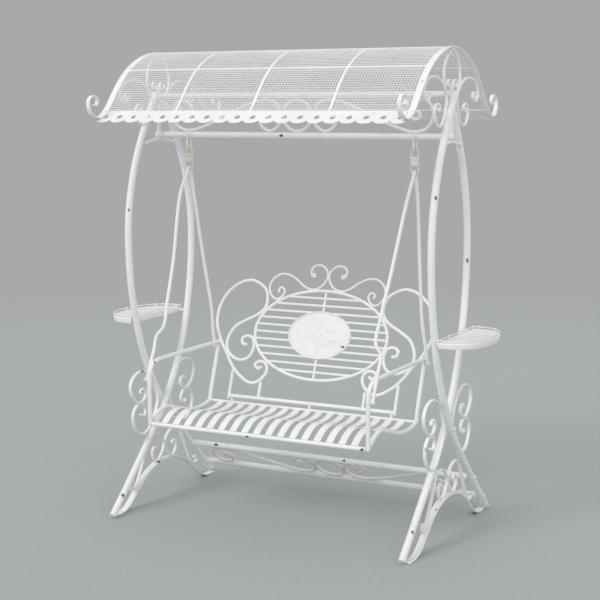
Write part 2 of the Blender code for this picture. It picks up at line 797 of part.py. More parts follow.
def net(path, half_length):
    # A bent sheet cut through by a plain grid of openings
    lengths = [0.0]
    for start, end in zip(path[:-1], path[1:]):
        lengths.append(lengths[-1] + (end - start).length)
    rows = []
    for line in grid_lines(lengths[-1], net_rows):
        bend = min(lengths, key=lambda length: abs(length - line))
        rows.append(bend if abs(bend - line) < sheet_thickness else line)
    columns = grid_lines(2 * half_length, net_columns)
    places = sorted(set(rows + lengths))
    shape = bmesh.new()
    points = {}
    for across_index, across in enumerate(columns):
        for index, place in enumerate(places):
            segment = next(end for end in range(1, len(lengths)) if place <= lengths[end])
            share = (place - lengths[segment - 1]) / (lengths[segment] - lengths[segment - 1])
            point = path[segment - 1].lerp(path[segment], share)
            points[across_index, index] = shape.verts.new((across - half_length, point.x, point.y))
    for across_index in range(len(columns) - 1):
        for index, (start, end) in enumerate(zip(places[:-1], places[1:])):
            if across_index % 2 == 0 or is_bar(rows, (start + end) / 2):
                shape.faces.new((points[across_index, index], points[across_index + 1, index],
                                 points[across_index + 1, index + 1], points[across_index, index + 1]))
    loose = [vert for vert in shape.verts if not vert.link_faces]
    bmesh.ops.delete(shape, geom=loose, context="VERTS")
    mesh = bpy.data.meshes.new("net")
    shape.to_mesh(mesh)
    shape.free()
    made = bpy.data.objects.new("net", mesh)
    bpy.context.scene.collection.objects.link(made)
    solid = made.modifiers.new("thickness", "SOLIDIFY")
    solid.thickness = sheet_thickness
    solid.offset = 0.0
    return made


node("canopy_mesh", net(sheet_path, sheet_half_length), paint_shade)

rib_shift = sheet_thickness / 2 + rib_thickness / 2 + weld_gap
rod_shift = arch_strip_thickness / 2 + canopy_rod_radius + weld_gap
rib_path = shifted(sheet_path, rib_shift)
rod_path = shifted(sheet_path, rod_shift)
rod_places = [(facing * reach, height_on(rod_path, reach))
              for reach in (purlin_half_spread, rod_path[-1].x) for facing in sides]
canopy_rod_end = frame_half_width + arch_strip_width / 2
ribs = [flat_bars([rib_path], rib_width, rib_thickness, side_plane,
                  (share * frame_half_width, 0.0, 0.0)) for share in rib_shares]
canopy_rods = rods([[(-canopy_rod_end, y, z), (canopy_rod_end, y, z)] for y, z in rod_places],
                   canopy_rod_radius)
node("canopy_frame", welded(gathered(ribs), canopy_rods))


def scalloped_strip(plane_tilt, facing):
    # A strip with a scalloped lower edge and a hole in each scallop, wider below the end arches
    pitch = 2 * valance_half_length / scallop_count
    outline = [(-valance_half_length, -valance_notch_drop),
               (-sheet_half_length, -valance_notch_drop), (-sheet_half_length, 0.0),
               (sheet_half_length, 0.0), (sheet_half_length, -valance_notch_drop),
               (valance_half_length, -valance_notch_drop)]
    holes = []
    for index in range(scallop_count):
        middle = valance_half_length - (index + 0.5) * pitch
        for step in range(min(index, 1), scallop_steps + 1):
            angle = math.pi * step / scallop_steps
            outline.append((middle + pitch / 2 * math.cos(angle),
                            -valance_drop - scallop_depth * math.sin(angle)))
        holes.append(ellipse((middle, -valance_hole_drop), valance_hole_width / 2,
                             valance_hole_height / 2, hole_steps)[::-1])
    return plate([outline] + holes, valance_thickness, (plane_tilt, 0.0, 0.0),
                 (0.0, facing * valance_top.x, valance_top.y))


valance_tilt = math.atan(valance_slope_share)
valance_half_length = frame_half_width + valance_overhang
valance_top = sheet_path[-1] + Vector((math.cos(valance_tilt), -math.sin(valance_tilt))) * weld_gap
node("front_valance", scalloped_strip(valance_tilt, -1))
node("rear_valance", scalloped_strip(math.pi - valance_tilt, 1))

# Swivels
frame_hinge_z = strap_bow_z + strap_radius + shackle_radius + gap
swivel_axis = bpy.data.objects.new("swivel_axis", None)
seat_axis = bpy.data.objects.new("seat_axis", None)
swivel_axis.location = (0.0, 0.0, frame_hinge_z)
seat_axis.location = (0.0, 0.0, seat_hinge_z)
piece_collection.objects.link(swivel_axis)
piece_collection.objects.link(seat_axis)


def swivel(side):
    # A round block between two shackles
    x = side * pivot_x
    across = Vector((shackle_half_width, 0.0))
    upper = arc((x, frame_hinge_z - shackle_half_width), shackle_half_width, 180, 0, strap_steps)
    lower = arc((x, seat_hinge_z + shackle_half_width), shackle_half_width, 180, 360, strap_steps)
    top = Vector((x, block_top_z - shackle_radius))
    bottom = Vector((x, block_bottom_z + shackle_radius))
    lines = ([top - across] + upper + [top + across],
             [bottom - across] + lower + [bottom + across])
    block = cylinder((x, 0.0, (block_top_z + block_bottom_z) / 2), block_radius,
                     block_top_z - block_bottom_z, "Z", 16)
    return welded(block, rods([[(point.x, 0.0, point.y) for point in line] for line in lines],
                              shackle_radius))


# Hanging rods
rod_bend_radius = shackle_radius + rod_radius + gap
rod_outer_x = arm_x + arm_radius + rod_radius + gap


def above_arm(across_share, rise_share):
    return across_share * seat_depth, arm_z + rise_share * (seat_hinge_z - arm_z)


def hanging_rods(side):
    # One bar over the swivel's bow, with a bolt head on each lower end
    lines = []
    for shares, end_shares in ((front_rod_shares, front_rod_end_shares),
                               (rear_rod_shares, rear_rod_end_shares)):
        line = [Vector((side * (pivot_x + (rod_inner_x - pivot_x) * blend), *above_arm(y, z)))
                for blend, y, z in shares]
        line += [Vector((side * rod_outer_x, *above_arm(y, z))) for y, z in end_shares]
        lines.append(line)
    bend = [Vector((side * pivot_x, point.x, point.y))
            for point in arc((0.0, seat_hinge_z), rod_bend_radius, 190, -10, strap_steps)]
    bar = rods([lines[0][::-1] + bend + lines[1]], rod_radius)
    bolt_x = side * (rod_outer_x + rod_radius - weld_overlap + rod_bolt_length / 2)
    heads = [cylinder((bolt_x, line[-1].y, line[-1].z + rod_bolt_radius), rod_bolt_radius,
                      rod_bolt_length, "X", 6) for line in lines]
    return welded(bar, gathered(heads))


# Arms and seat
def above_rail(shares):
    return [Vector((across * seat_depth, front_rail_z + rise * (arm_z - front_rail_z)))
            for across, rise in shares]


arm_path = above_rail(arm_path_shares)
slat_path = [point + Vector((0.0, seat_height)) for point in scaled(seat_profile_shares, seat_depth)]
side_rail_path = above_rail(rear_post_shares) + slat_path[1:-1]
side_rail_path.append(Vector((side_rail_front_y, height_on(slat_path, side_rail_front_y))))
for side in sides:
    label = side_names[side]
    place = (side * arm_x, 0.0, 0.0)
    node(label + "swivel", swivel(side), paint_warm, swivel_axis)
    node(label + "hanging_rods", hanging_rods(side), axis=seat_axis)
    node(label + "arm_tube", rods([arm_path], arm_radius, side_plane, place, tube_steps),
         axis=seat_axis)
    node(label + "seat_side_rail",
         rods([side_rail_path], arm_radius, side_plane, place, tube_steps), axis=seat_axis)

inner_arm_x = arm_x - arm_radius - gap
node("seat_front_rail",
     rods([[(-inner_arm_x, front_rail_y, front_rail_z), (inner_arm_x, front_rail_y, front_rail_z)]],
          front_rail_radius, detail=tube_steps), axis=seat_axis)
node("seat_rear_rail",
     rods([[(-inner_arm_x, rear_rail_y, rear_rail_z), (inner_arm_x, rear_rail_y, rear_rail_z)]],
          rear_rail_radius), axis=seat_axis)


def seat_slats():
    # Bent strips side by side, welded on to the cross rods under them
    pitch = 2 * inner_arm_x / (slat_count + 1)
    strips = [flat_bars([slat_path], slat_width, slat_thickness, side_plane,
                        ((index + 1) * pitch - inner_arm_x, 0.0, 0.0))
              for index in range(slat_count)]
    drop = slat_thickness / 2 + under_rod_radius - weld_overlap
    places = [(reach * seat_depth, height_on(slat_path, reach * seat_depth) - drop)
              for reach in cross_rod_shares]
    under = rods([[(-inner_arm_x, y, z), (inner_arm_x, y, z)] for y, z in places],
                 under_rod_radius)
    return welded(gathered(strips), under)


node("seat_slats", seat_slats(), axis=seat_axis)

# Backrest, drawn in its own leaning plane from the height of the seat
ring_middle = Vector((0.0, ring_centre_rise))
ring = ellipse(ring_middle, ring_half_width, ring_half_height, backrest_ring_steps)
ring_line = ring + ring[:1]
arm_level = (arm_z - back_base_z) / math.cos(back_lean)
loop = scaled(loop_shares, back_half_width)
widest = arm_x - arm_radius - loop_radius - 2 * upright_gap
loop = [Vector((min(point.x, widest), point.y)) if abs(point.y - arm_level) < 3 * arm_radius
        else point for point in loop]
loop = keep_clear(loop, [(ring_line, ring_radius + loop_radius + upright_gap)])
top_scroll = keep_clear(scaled(top_scroll_shares, back_half_width), [
    (ring_line, ring_radius + top_scroll_radius + weld_gap),
    (loop, loop_radius + top_scroll_radius + weld_gap),
    (centre_line, top_scroll_radius - 2 * weld_overlap),
])


def back_rods(paths, radius, detail=rod_steps, closed=False):
    return rods(paths, radius, back_plane, back_origin, detail, closed)


for side, path in ((-1, mirrored(loop)), (1, loop)):
    node(side_names[side] + "backrest_loop", back_rods([path], loop_radius), axis=seat_axis)
node("backrest_ring", back_rods([ring], ring_radius, closed=True), axis=seat_axis)
node("backrest_top_scrolls",
     welded(back_rods([top_scroll], top_scroll_radius, square_steps),
            back_rods([mirrored(top_scroll)], top_scroll_radius, square_steps)), axis=seat_axis)


def leg_top(x):
    # The height at which an upright leg just meets the loop above it
    heights = [height_on([start, end], side) for side in (x - back_leg_radius, x + back_leg_radius)
               for start, end in zip(loop[:-1], loop[1:])
               if min(start.x, end.x) <= side <= max(start.x, end.x)]
    low = min(heights)
    second = min(height for height in heights if height != low)
    slope = min(steepest_share, (second - low) / (2 * back_leg_radius))
    return low - loop_radius * math.hypot(1, slope) - weld_gap


def backrest_rail():
    # The lower rail with its upright legs and the short brackets under it
    rail = back_rods([[(-back_rail_half_length, -back_rail_drop),
                       (back_rail_half_length, -back_rail_drop)]], back_rail_radius)
    lines = []
    for side in sides:
        lines.append([(side * back_rail_half_length, -leg_drop),
                      (side * back_rail_half_length, leg_top(back_rail_half_length))])
        lines.append([(side * inner_leg_x, -back_rail_drop),
                      (side * inner_leg_x, leg_top(inner_leg_x))])
    legs = as_mesh(back_rods(lines, back_leg_radius))
    bottom = rear_rail_z + rear_rail_radius + gap
    top = back_base_z - back_rail_drop * math.cos(back_lean)
    reach = back_rail_half_length - 3 * bracket_radius
    brackets = [cylinder((x, rear_rail_y + bracket_offset, (bottom + top) / 2), bracket_radius,
                         top - bottom, "Z") for x in (-reach, 0.0, reach)]
    return welded(rail, gathered([legs] + brackets))


node("backrest_rail", backrest_rail(), axis=seat_axis)


def backrest_bars():
    # Cross bars inside the ring, welded to one upright flat bar
    lines = []
    for index in range(back_bar_count):
        rise = (index - (back_bar_count - 1) / 2) * back_bar_pitch
        across = math.sqrt(1 - (rise / ring_half_height) ** 2)
        slope = abs(rise) * ring_half_width / (ring_half_height ** 2 * across)
        reach = reach_at(ring_line, ring_centre_rise + rise) - 2 * upright_gap
        reach -= ring_radius * math.hypot(1, slope) + back_bar_radius * slope
        lines.append([(-reach, ring_centre_rise + rise), (reach, ring_centre_rise + rise)])
    high = ring_half_height - ring_radius - upright_gap
    upright = flat_bars([[ring_middle - Vector((0.0, high)), ring_middle + Vector((0.0, high))]],
                        centre_bar_thickness, centre_bar_width, back_plane, back_origin)
    return welded(back_rods(lines, back_bar_radius, square_steps), upright)


node("backrest_bars", backrest_bars(), axis=seat_axis)

plaque_shift = back_bar_radius + plaque_thickness / 2 + gap
plaque_place = back_origin - Vector((0.0, math.cos(back_lean), -math.sin(back_lean))) * plaque_shift
node("backrest_plaque",
     plate([ellipse(ring_middle, plaque_half_width, plaque_half_height, plaque_steps)],
           plaque_thickness, back_plane, plaque_place), axis=seat_axis)

for made in piece_collection.objects:
    if made.type == "MESH":
        made.data.shade_smooth()
        made.data.set_sharp_from_angle(angle=math.radians(40))
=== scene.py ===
from functools import partial
from math import atan, atan2, ceil, copysign, cos, hypot, pi, radians, sin, sqrt, tan

import bmesh
import bpy
from mathutils import Matrix, Vector, noise


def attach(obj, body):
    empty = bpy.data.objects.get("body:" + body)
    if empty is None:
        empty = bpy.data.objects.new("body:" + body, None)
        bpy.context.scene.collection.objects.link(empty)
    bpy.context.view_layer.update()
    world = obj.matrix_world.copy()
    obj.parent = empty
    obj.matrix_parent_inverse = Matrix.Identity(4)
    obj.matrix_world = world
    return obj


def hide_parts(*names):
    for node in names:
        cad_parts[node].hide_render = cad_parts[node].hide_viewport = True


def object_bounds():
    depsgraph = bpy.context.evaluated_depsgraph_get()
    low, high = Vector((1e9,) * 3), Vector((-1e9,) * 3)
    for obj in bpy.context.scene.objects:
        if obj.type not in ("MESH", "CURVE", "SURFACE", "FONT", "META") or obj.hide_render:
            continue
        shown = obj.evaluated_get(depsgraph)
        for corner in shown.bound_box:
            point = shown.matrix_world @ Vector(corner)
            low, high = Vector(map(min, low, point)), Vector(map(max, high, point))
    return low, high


# Garden swing bench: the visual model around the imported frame, in metres
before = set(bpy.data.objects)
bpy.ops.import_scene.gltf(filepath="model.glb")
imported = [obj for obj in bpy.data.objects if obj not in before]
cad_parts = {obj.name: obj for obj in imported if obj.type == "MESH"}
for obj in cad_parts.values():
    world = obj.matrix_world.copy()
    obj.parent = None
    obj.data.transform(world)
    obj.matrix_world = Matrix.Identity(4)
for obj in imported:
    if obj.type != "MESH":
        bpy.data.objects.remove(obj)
cad_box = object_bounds()

# Driving dimensions
frame_height = 1.905
frame_half_width = 0.7285
back_half_width = 0.560
seat_depth = 0.530
seat_height = 0.4425
gap = 0.0003
weld_gap = 0.0005
upright_gap = 0.001
weld_overlap = 0.0008

# Side frames: the upper beam's axis is at frame_height
leg_radius = 0.015
beam_radius = 0.0135
lower_beam_overhang = 0.0135
post_radius = 0.009
brace_radius = 0.006
brace_end_clearance = 0.0165
brace_drop = 0.0185
brace_power = 1.5
upper_beam_z = frame_height
lower_beam_z = upper_beam_z - 0.1775
post_top_z = upper_beam_z - 0.037

# Bars: width and thickness
scroll_bar = (0.016, 0.006)
upper_bar = (0.012, 0.005)
finial_bar = (0.012, 0.004)
foot_strip = (0.030, 0.005)
arch_strip = (0.028, 0.005)
drawn_scroll = (0.0160, 0.0108)
drawn_upper = (0.0132, 0.0098)

# Scroll rows and stretchers
row_half_length = frame_half_width - 0.0805
row_rod_radius = 0.006
upper_stretcher_z = 0.195
lower_stretcher_z = 0.078

# Canopy
sheet_thickness = 0.002
sheet_half_depth = 0.2277 * frame_height
rib_bar = (0.012, 0.004)
rib_shares = (-0.5, 0.0, 0.5)
canopy_rod_radius = 0.004
purlin_half_spread = 0.1297 * frame_height
valance_thickness = 0.002
valance_tilt = atan(0.65)
valance_half_length = frame_half_width + 0.006
valance_notch_drop = 0.052
valance_drop = 0.061
valance_hole_drop = 0.044
scallop_depth = 0.025
scallop_count = 20

# Trays
tray_top_z = 0.885
tray_depth = 0.176
tray_half_length = 0.215
tray_squareness = 2.6
tray_plate = 0.002
tray_rail_radius = 0.0026
tray_rail_inset = 0.004
tray_spacer_radius = 0.006
spacer_z = tray_top_z - 0.012

# Arms
arm_radius = 0.009
arm_x = back_half_width - 0.024
arm_z = seat_height + 0.2885

# Swivels, counted down from the lower beam
pivot_x = arm_x + 0.0285
strap_radius = 0.004
strap_bow_z = lower_beam_z - 0.0585
strap_bolt_radius = 0.0065
strap_bolt_length = 0.006
shackle_radius = 0.004
shackle_bow = 0.016
block_radius = 0.0178
block_build = 0.0025
block_top_z = strap_bow_z - 0.029
block_bottom_z = block_top_z - 0.036
seat_hinge_z = block_bottom_z - 0.037

# Hanging rods
rod_radius = 0.007
rod_inner_x = arm_x - 0.0125
rod_bolt_radius = 0.009
rod_bolt_length = 0.007

# Seat
front_rail_radius = 0.0085
front_rail_y = -0.7689 * seat_depth
front_rail_z = seat_height + 0.0065
side_rail_front_y = -0.7406 * seat_depth
rear_rail_radius = 0.006
rear_rail_y = 0.2113 * seat_depth
rear_rail_z = seat_height + 0.0165
under_rod_radius = 0.003
under_rod_shares = (-0.19, -0.47)
slat_width = 0.030
slat_thickness = 0.003
slat_count = 17

# Backrest, in a plane that leans back from a line over the rear rail
back_lean = atan(0.3568)
back_base_y = rear_rail_y + 0.0036
back_base_z = rear_rail_z + 0.041
loop_radius = 0.007
ring_radius = 0.0055
ring_half_width = 0.6125 * back_half_width
ring_half_height = 0.3786 * back_half_width
ring_centre_rise = 0.5593 * back_half_width
back_bar_radius = 0.0035
back_bar_pitch = 0.1660 * ring_half_height
back_bar_count = 11
centre_bar = (0.003, 0.010)
plaque_half_width = 0.4723 * ring_half_width
plaque_half_height = 0.5377 * ring_half_height
plaque_thickness = 0.006
top_scroll_radius = 0.0045
back_rail_radius = 0.0075
back_rail_half_length = 0.7679 * back_half_width
back_rail_drop = 0.0095
back_leg_radius = 0.006
inner_leg_x = 0.4839 * back_half_width
leg_drop = 0.024
steepest_share = 1.5
bracket_radius = 0.0055
bracket_offset = 0.0015

# Bolts
side_bolt_radius = 0.010
side_bolt_length = 0.008
crossing_bolt_radius = 0.009

# How finely things are drawn, and what paint and forging add to the solids
clearing_passes = 3
curve_step = 0.008
curl_step_degrees = 24
widest_curl_share = 2.2
cap_shares = (0.0, 0.10, 0.32, 0.62, 1.0)
knob_reach = 0.009
paint_build = 0.0008
drawn_hole = (0.0285, 0.0275)

# Side frame shapes: shares of frame_height, across the frame and up from the floor
leg_path_shares = (
    (-0.2430, 0.0060), (-0.1916, 0.0525), (-0.1365, 0.1050), (-0.0814, 0.1575),
    (-0.0357, 0.2047), (0.0026, 0.2520), (0.0436, 0.3150), (0.0709, 0.3675),
    (0.0919, 0.4199), (0.1071, 0.4724), (0.1186, 0.5249), (0.1260, 0.5774),
    (0.1297, 0.6299), (0.1297, 0.6824), (0.1239, 0.7349), (0.1118, 0.7874),
    (0.0945, 0.8399), (0.0693, 0.8924), (0.0394, 0.9449), (0.0000, 1.0058),
)

hoop_shares = (
    (0.0808, 0.9638), (0.0724, 0.9669), (0.0730, 0.9753), (0.0829, 0.9795),
    (0.0955, 0.9753), (0.1013, 0.9638), (0.0987, 0.9501), (0.0892, 0.9375),
    (0.0735, 0.9307), (0.0577, 0.9354), (0.0462, 0.9475), (0.0373, 0.9648),
    (0.0315, 0.9832), (0.0331, 0.9990), (0.0415, 1.0131), (0.0483, 1.0315),
    (0.0478, 1.0514), (0.0404, 1.0693), (0.0236, 1.0856),
)

upper_scroll_shares = (
    (0.0433, 1.0131), (0.0640, 1.0273), (0.0892, 1.0367), (0.1155, 1.0373),
    (0.1433, 1.0304), (0.1601, 1.0157), (0.1646, 0.9995), (0.1575, 0.9879),
    (0.1428, 0.9848), (0.1307, 0.9916), (0.1307, 1.0016), (0.1407, 1.0052),
    (0.1465, 1.0000),
)

end_arch_shares = (
    (0.0000, 1.1034), (0.0367, 1.0997), (0.0787, 1.0871), (0.1181, 1.0677),
    (0.1496, 1.0451), (0.1748, 1.0210), (0.1958, 0.9969), (0.2178, 0.9722),
    (0.2388, 0.9559), (0.2598, 0.9496), (0.2793, 0.9564), (0.2903, 0.9711),
    (0.2919, 0.9869), (0.2808, 0.9979), (0.2656, 0.9984), (0.2567, 0.9890),
    (0.2604, 0.9795),
)

crossing_scroll_shares = (
    (0.0997, 0.2850), (0.0866, 0.2861), (0.0787, 0.2730), (0.0903, 0.2583),
    (0.1144, 0.2567), (0.1375, 0.2751), (0.1465, 0.2982), (0.1375, 0.3181),
    (0.1165, 0.3297), (0.0924, 0.3318), (0.0672, 0.3234), (0.0546, 0.3139),
    (0.0367, 0.2861), (0.0262, 0.2546), (0.0325, 0.2299), (0.0504, 0.2037),
    (0.0703, 0.1827), (0.0955, 0.1745), (0.1197, 0.1848), (0.1339, 0.2047),
    (0.1370, 0.2273), (0.1260, 0.2457), (0.1076, 0.2525), (0.0892, 0.2467),
    (0.0814, 0.2336), (0.0866, 0.2210), (0.0987, 0.2194),
)

foot_arch_shares = (
    (0.0000, 0.0929), (0.0262, 0.0913), (0.0525, 0.0856), (0.0735, 0.0777),
    (0.0945, 0.0667), (0.1129, 0.0541), (0.1312, 0.0399), (0.1496, 0.0252),
    (0.1669, 0.0131), (0.1848, 0.0047), (0.2047, 0.0013), (0.2342, 0.0013),
)

foot_scroll_shares = (
    (0.0378, 0.1276), (0.0483, 0.1291), (0.0551, 0.1186), (0.0509, 0.1034),
    (0.0357, 0.0937), (0.0199, 0.1003), (0.0084, 0.1134), (0.0012, 0.1312),
    (0.0147, 0.1512), (0.0341, 0.1612), (0.0567, 0.1622), (0.0719, 0.1543),
    (0.0814, 0.1375), (0.0919, 0.1165), (0.1066, 0.0892), (0.1218, 0.0630),
    (0.1375, 0.0472), (0.1512, 0.0483), (0.1538, 0.0593), (0.1454, 0.0640),
)

finial_shares = (
    (0.0006, 1.0076), (0.0031, 1.0163), (0.0073, 1.0273), (0.0163, 1.0331),
    (0.0257, 1.0283), (0.0268, 1.0194), (0.0189, 1.0157),
)

# Scroll rows: shares of row_half_length, and of the height between the bars
row_scroll_shares = (
    (0.8858, 0.1367), (0.9074, 0.0504), (0.8951, -0.0935), (0.8596, -0.1007),
    (0.8380, 0.0791), (0.8565, 0.3525), (0.9182, 0.5000), (0.9799, 0.3525),
    (1.0000, 0.0072), (0.9568, -0.3741), (0.8673, -0.5000), (0.7716, -0.4101),
    (0.6528, -0.2014), (0.4799, 0.1727), (0.3441, 0.4173), (0.2423, 0.5000),
    (0.1620, 0.3813), (0.1265, 0.0432), (0.1466, -0.3309), (0.2114, -0.5000),
    (0.2747, -0.3669), (0.2932, -0.1367), (0.2623, 0.0216), (0.2269, -0.0647),
    (0.2330, -0.1942),
)

# Backrest shapes: shares of back_half_width
loop_shares = (
    (0.5321, 0.2351), (0.5643, 0.2692), (0.5214, 0.2977), (0.4625, 0.2806),
    (0.4446, 0.2180), (0.4946, 0.1403), (0.5768, 0.1062), (0.6964, 0.1612),
    (0.7911, 0.2503), (0.8571, 0.3470), (0.9268, 0.4380), (0.9643, 0.5119),
    (0.9946, 0.5878), (1.0036, 0.6826), (0.9857, 0.7774), (0.9429, 0.8627),
    (0.8750, 0.9348), (0.8036, 0.9765), (0.7143, 0.9935), (0.6286, 0.9632),
    (0.5696, 0.9177), (0.5446, 0.8570), (0.5482, 0.7679), (0.6089, 0.7015),
    (0.7143, 0.6428), (0.8125, 0.5783), (0.8607, 0.4930), (0.8679, 0.4171),
    (0.8268, 0.3413), (0.7321, 0.2958), (0.6518, 0.3129), (0.6107, 0.3735),
    (0.6036, 0.4418), (0.6286, 0.4930), (0.6839, 0.5063), (0.7250, 0.4797),
    (0.7143, 0.4399),
)

top_scroll_shares = (
    (0.1286, 1.0751), (0.1268, 1.0542), (0.1536, 1.0656), (0.1652, 1.1111),
    (0.1411, 1.1471), (0.0929, 1.1585), (0.0357, 1.1320), (0.0054, 1.0751),
    (0.0286, 1.0049), (0.0804, 0.9575), (0.1446, 0.9452), (0.2089, 0.9670),
    (0.3000, 1.0296), (0.3696, 1.0599), (0.4393, 1.0637), (0.5107, 1.0201),
    (0.5393, 0.9480), (0.5125, 0.8760), (0.4554, 0.8428), (0.4027, 0.8788),
    (0.3920, 0.9234), (0.4232, 0.9499), (0.4464, 0.9291),
)

# Slats: shares of seat_depth, across the seat and up from seat_height
seat_profile_shares = (
    (0.1972, 0.0321), (0.1132, 0.0085), (0.0000, 0.0000), (-0.1509, 0.0142),
    (-0.3019, 0.0528), (-0.4340, 0.0943), (-0.5472, 0.1132), (-0.6509, 0.0877),
    (-0.7509, 0.0279),
)

# Hanging rods: blend from the pivot line to the arm line, share of seat_depth across,
# share of the way up from the arm to the seat hinge
front_rod_shares = (
    (0.0000, -0.1509, 0.8780), (0.6000, -0.3585, 0.5144), (0.9000, -0.4962, 0.3098),
    (1.0000, -0.5792, 0.1722),
)
front_rod_end_shares = (
    (-0.6000, 0.1244), (-0.6472, 0.0526), (-0.7019, -0.0191), (-0.7670, -0.1089),
)

rear_rod_shares = (
    (0.0000, 0.0642, 0.8780), (0.3000, 0.1849, 0.4833), (0.5000, 0.2830, 0.2022),
)
rear_rod_end_shares = (
    (0.3358, 0.0474), (0.3453, 0.0212), (0.3623, -0.0312),
)

# Arm tube from the foot of the front post to the rear end: share of seat_depth across,
# share of the way up from the front rail to the arm
arm_path_shares = (
    (-0.7679, -0.0266), (-0.7679, 0.7660), (-0.7509, 0.8794), (-0.7038, 0.9610),
    (-0.6321, 0.9947), (-0.5660, 1.0000), (0.3774, 1.0000),
)

# Upper end of the seat side rail, from under the arm down to the seat
rear_post_shares = (
    (0.3781, 0.9560), (0.2292, 0.1809), (0.2113, 0.0496), (0.1698, 0.0163),
)


# Paths
def scaled(shares, length=frame_height):
    return [Vector([share * length for share in row]) for row in shares]


def steps_of(path):
    return zip(path, path[1:])


def running(path):
    # The length along a path at each of its points
    lengths = [0.0]
    for start, end in steps_of(path):
        lengths.append(lengths[-1] + (end - start).length)
    return lengths


def found_at(lengths, at):
    # The step of a path that holds a length, and the share of it that is passed
    index = next((i for i in range(1, len(lengths)) if lengths[i] >= at), len(lengths) - 1)
    return index, (at - lengths[index - 1]) / max(lengths[index] - lengths[index - 1], 1e-9)


def evenly(path, count):
    # The path cut into equal steps
    lengths = running(path)
    spots = [found_at(lengths, lengths[-1] * step / count) for step in range(count + 1)]
    return [path[index - 1].lerp(path[index], share) for index, share in spots]


def nearest(point, path):
    # The distance to a path, and the nearest spot on it
    spots = []
    for start, end in steps_of(path):
        along = end - start
        share = (point - start).dot(along) / along.length_squared
        spot = start + along * min(1.0, max(0.0, share))
        spots.append(((point - spot).length, spot))
    return min(spots, key=lambda found: found[0])


def keep_clear(path, obstacles):
    # Moves each point that is too near an obstacle straight out to the wanted reach
    result = list(path)
    for _pass in range(clearing_passes):
        for index, point in enumerate(result):
            for obstacle, reach in obstacles:
                distance, spot = nearest(point, obstacle)
                if distance < reach:
                    point = spot + (point - spot).normalized() * reach
            result[index] = point
    return result


def touching(path, obstacles):
    # Brings the point that is nearest each obstacle to the wanted reach
    result = list(path)
    for obstacle, reach in obstacles:
        index = min(range(len(result)), key=lambda i: nearest(result[i], obstacle)[0])
        spot = nearest(result[index], obstacle)[1]
        result[index] = spot + (result[index] - spot).normalized() * reach
    return result


def mirrored(path):
    return [Vector((-point.x, point.y)) for point in path]


def both_ways(path):
    return path, mirrored(path)


def whole(half):
    # A symmetric path from the half that starts on the centre line
    return mirrored(half[:0:-1]) + list(half)


def spread(reach, steps):
    # Even steps from -reach to reach
    return [-reach + 2 * reach * step / steps for step in range(steps + 1)]


def turns(steps):
    return [2 * pi * step / steps for step in range(steps)]


def ellipse(middle, half_width, half_height, angles):
    return [Vector((middle[0] + half_width * cos(angle),
                    middle[1] + half_height * sin(angle))) for angle in angles]


def arc(middle, radius, start, end, steps=16):
    return ellipse(middle, radius, radius, [radians(start + (end - start) * step / steps)
                                            for step in range(steps + 1)])


def height_on(path, x):
    # Where the path passes x, counted from its start
    for start, end in steps_of(path):
        low, high = sorted((start.x, end.x))
        if low <= x <= high and high > low:
            return start.y + (end.y - start.y) * (x - start.x) / (end.x - start.x)
    return path[-1].y


def reach_at(path, height):
    # How far out the path is where it passes a height
    return height_on([point.yx for point in path], height)


def shifted(path, distance):
    # The path moved by a distance towards its lower side
    ends = path[:1] + path + path[-1:]
    return [point + Vector((after.y - before.y, before.x - after.x)).normalized() * distance
            for before, point, after in zip(ends, path, ends[2:])]


def smooth(points, step=curve_step):
    # A centripetal spline through the points, with short even steps
    points = [2 * points[0] - points[1], *points, 2 * points[-1] - points[-2]]
    result = []
    for level in zip(points, points[1:], points[2:], points[3:]):
        knots = [0.0]
        for start, end in steps_of(level):
            knots.append(knots[-1] + max((end - start).length, 1e-7) ** 0.5)
        steps = max(1, ceil((level[2] - level[1]).length / step))
        for part in range(steps):
            t = knots[1] + (knots[2] - knots[1]) * part / steps
            blend = level
            for spans in (((0, 1), (1, 2), (2, 3)), ((0, 2), (1, 3)), ((1, 2),)):
                blend = [start.lerp(end, (t - knots[low]) / (knots[high] - knots[low]))
                         for (start, end), (low, high) in zip(steps_of(blend), spans)]
            result += blend
    return result + [points[-2]]


def curled(path, turn, end_radius, both=False):
    # The path's last end, or both ends, wound further in to a tighter curl
    before, ahead = path[-2] - path[-3], path[-1] - path[-2]
    bend = before.cross(ahead)
    start_radius = before.length * ahead.length * (path[-1] - path[-3]).length
    start_radius /= max(2 * abs(bend), 1e-9)
    start_radius = min(max(start_radius, end_radius), widest_curl_share * end_radius)
    sign = copysign(1.0, bend)
    angle = atan2(ahead.y, ahead.x) + sign * ahead.length / (2 * start_radius)
    result = list(path)
    steps = max(2, round(turn / curl_step_degrees))
    swing = radians(turn) / steps
    for step in range(steps):
        radius = start_radius * (end_radius / start_radius) ** ((step + 0.5) / steps)
        angle += sign * swing / 2
        result.append(result[-1] + Vector((cos(angle), sin(angle))) * 2 * radius * sin(swing / 2))
        angle += sign * swing / 2
    return curled(result[::-1], turn, end_radius)[::-1] if both else result


def knobbed(path, size):
    # Swells a bar towards its ends to small knobs
    length = running(path)[-1]

    def swell(at):
        near = min(at, length - at)
        grown = 1.0 + (size - 1.0) * max(0.0, 1.0 - near / knob_reach) ** 0.7
        return grown, grown
    return swell


def tapered(path, narrow, held, full):
    # Narrows a strip towards both ends
    length = running(path)[-1]

    def swell(at):
        share = min(1.0, max(0.0, (min(at, length - at) - held) / (full - held)))
        return narrow + (1.0 - narrow) * share * share * (3 - 2 * share), 1.0
    return swell


across = Vector((1.0, 0.0, 0.0))
upward = Vector((0.0, 0.0, 1.0))
up_the_back = Vector((0.0, sin(back_lean), cos(back_lean)))
back_front = Vector((0.0, -cos(back_lean), sin(back_lean)))
back_origin = Vector((0.0, back_base_y, back_base_z))


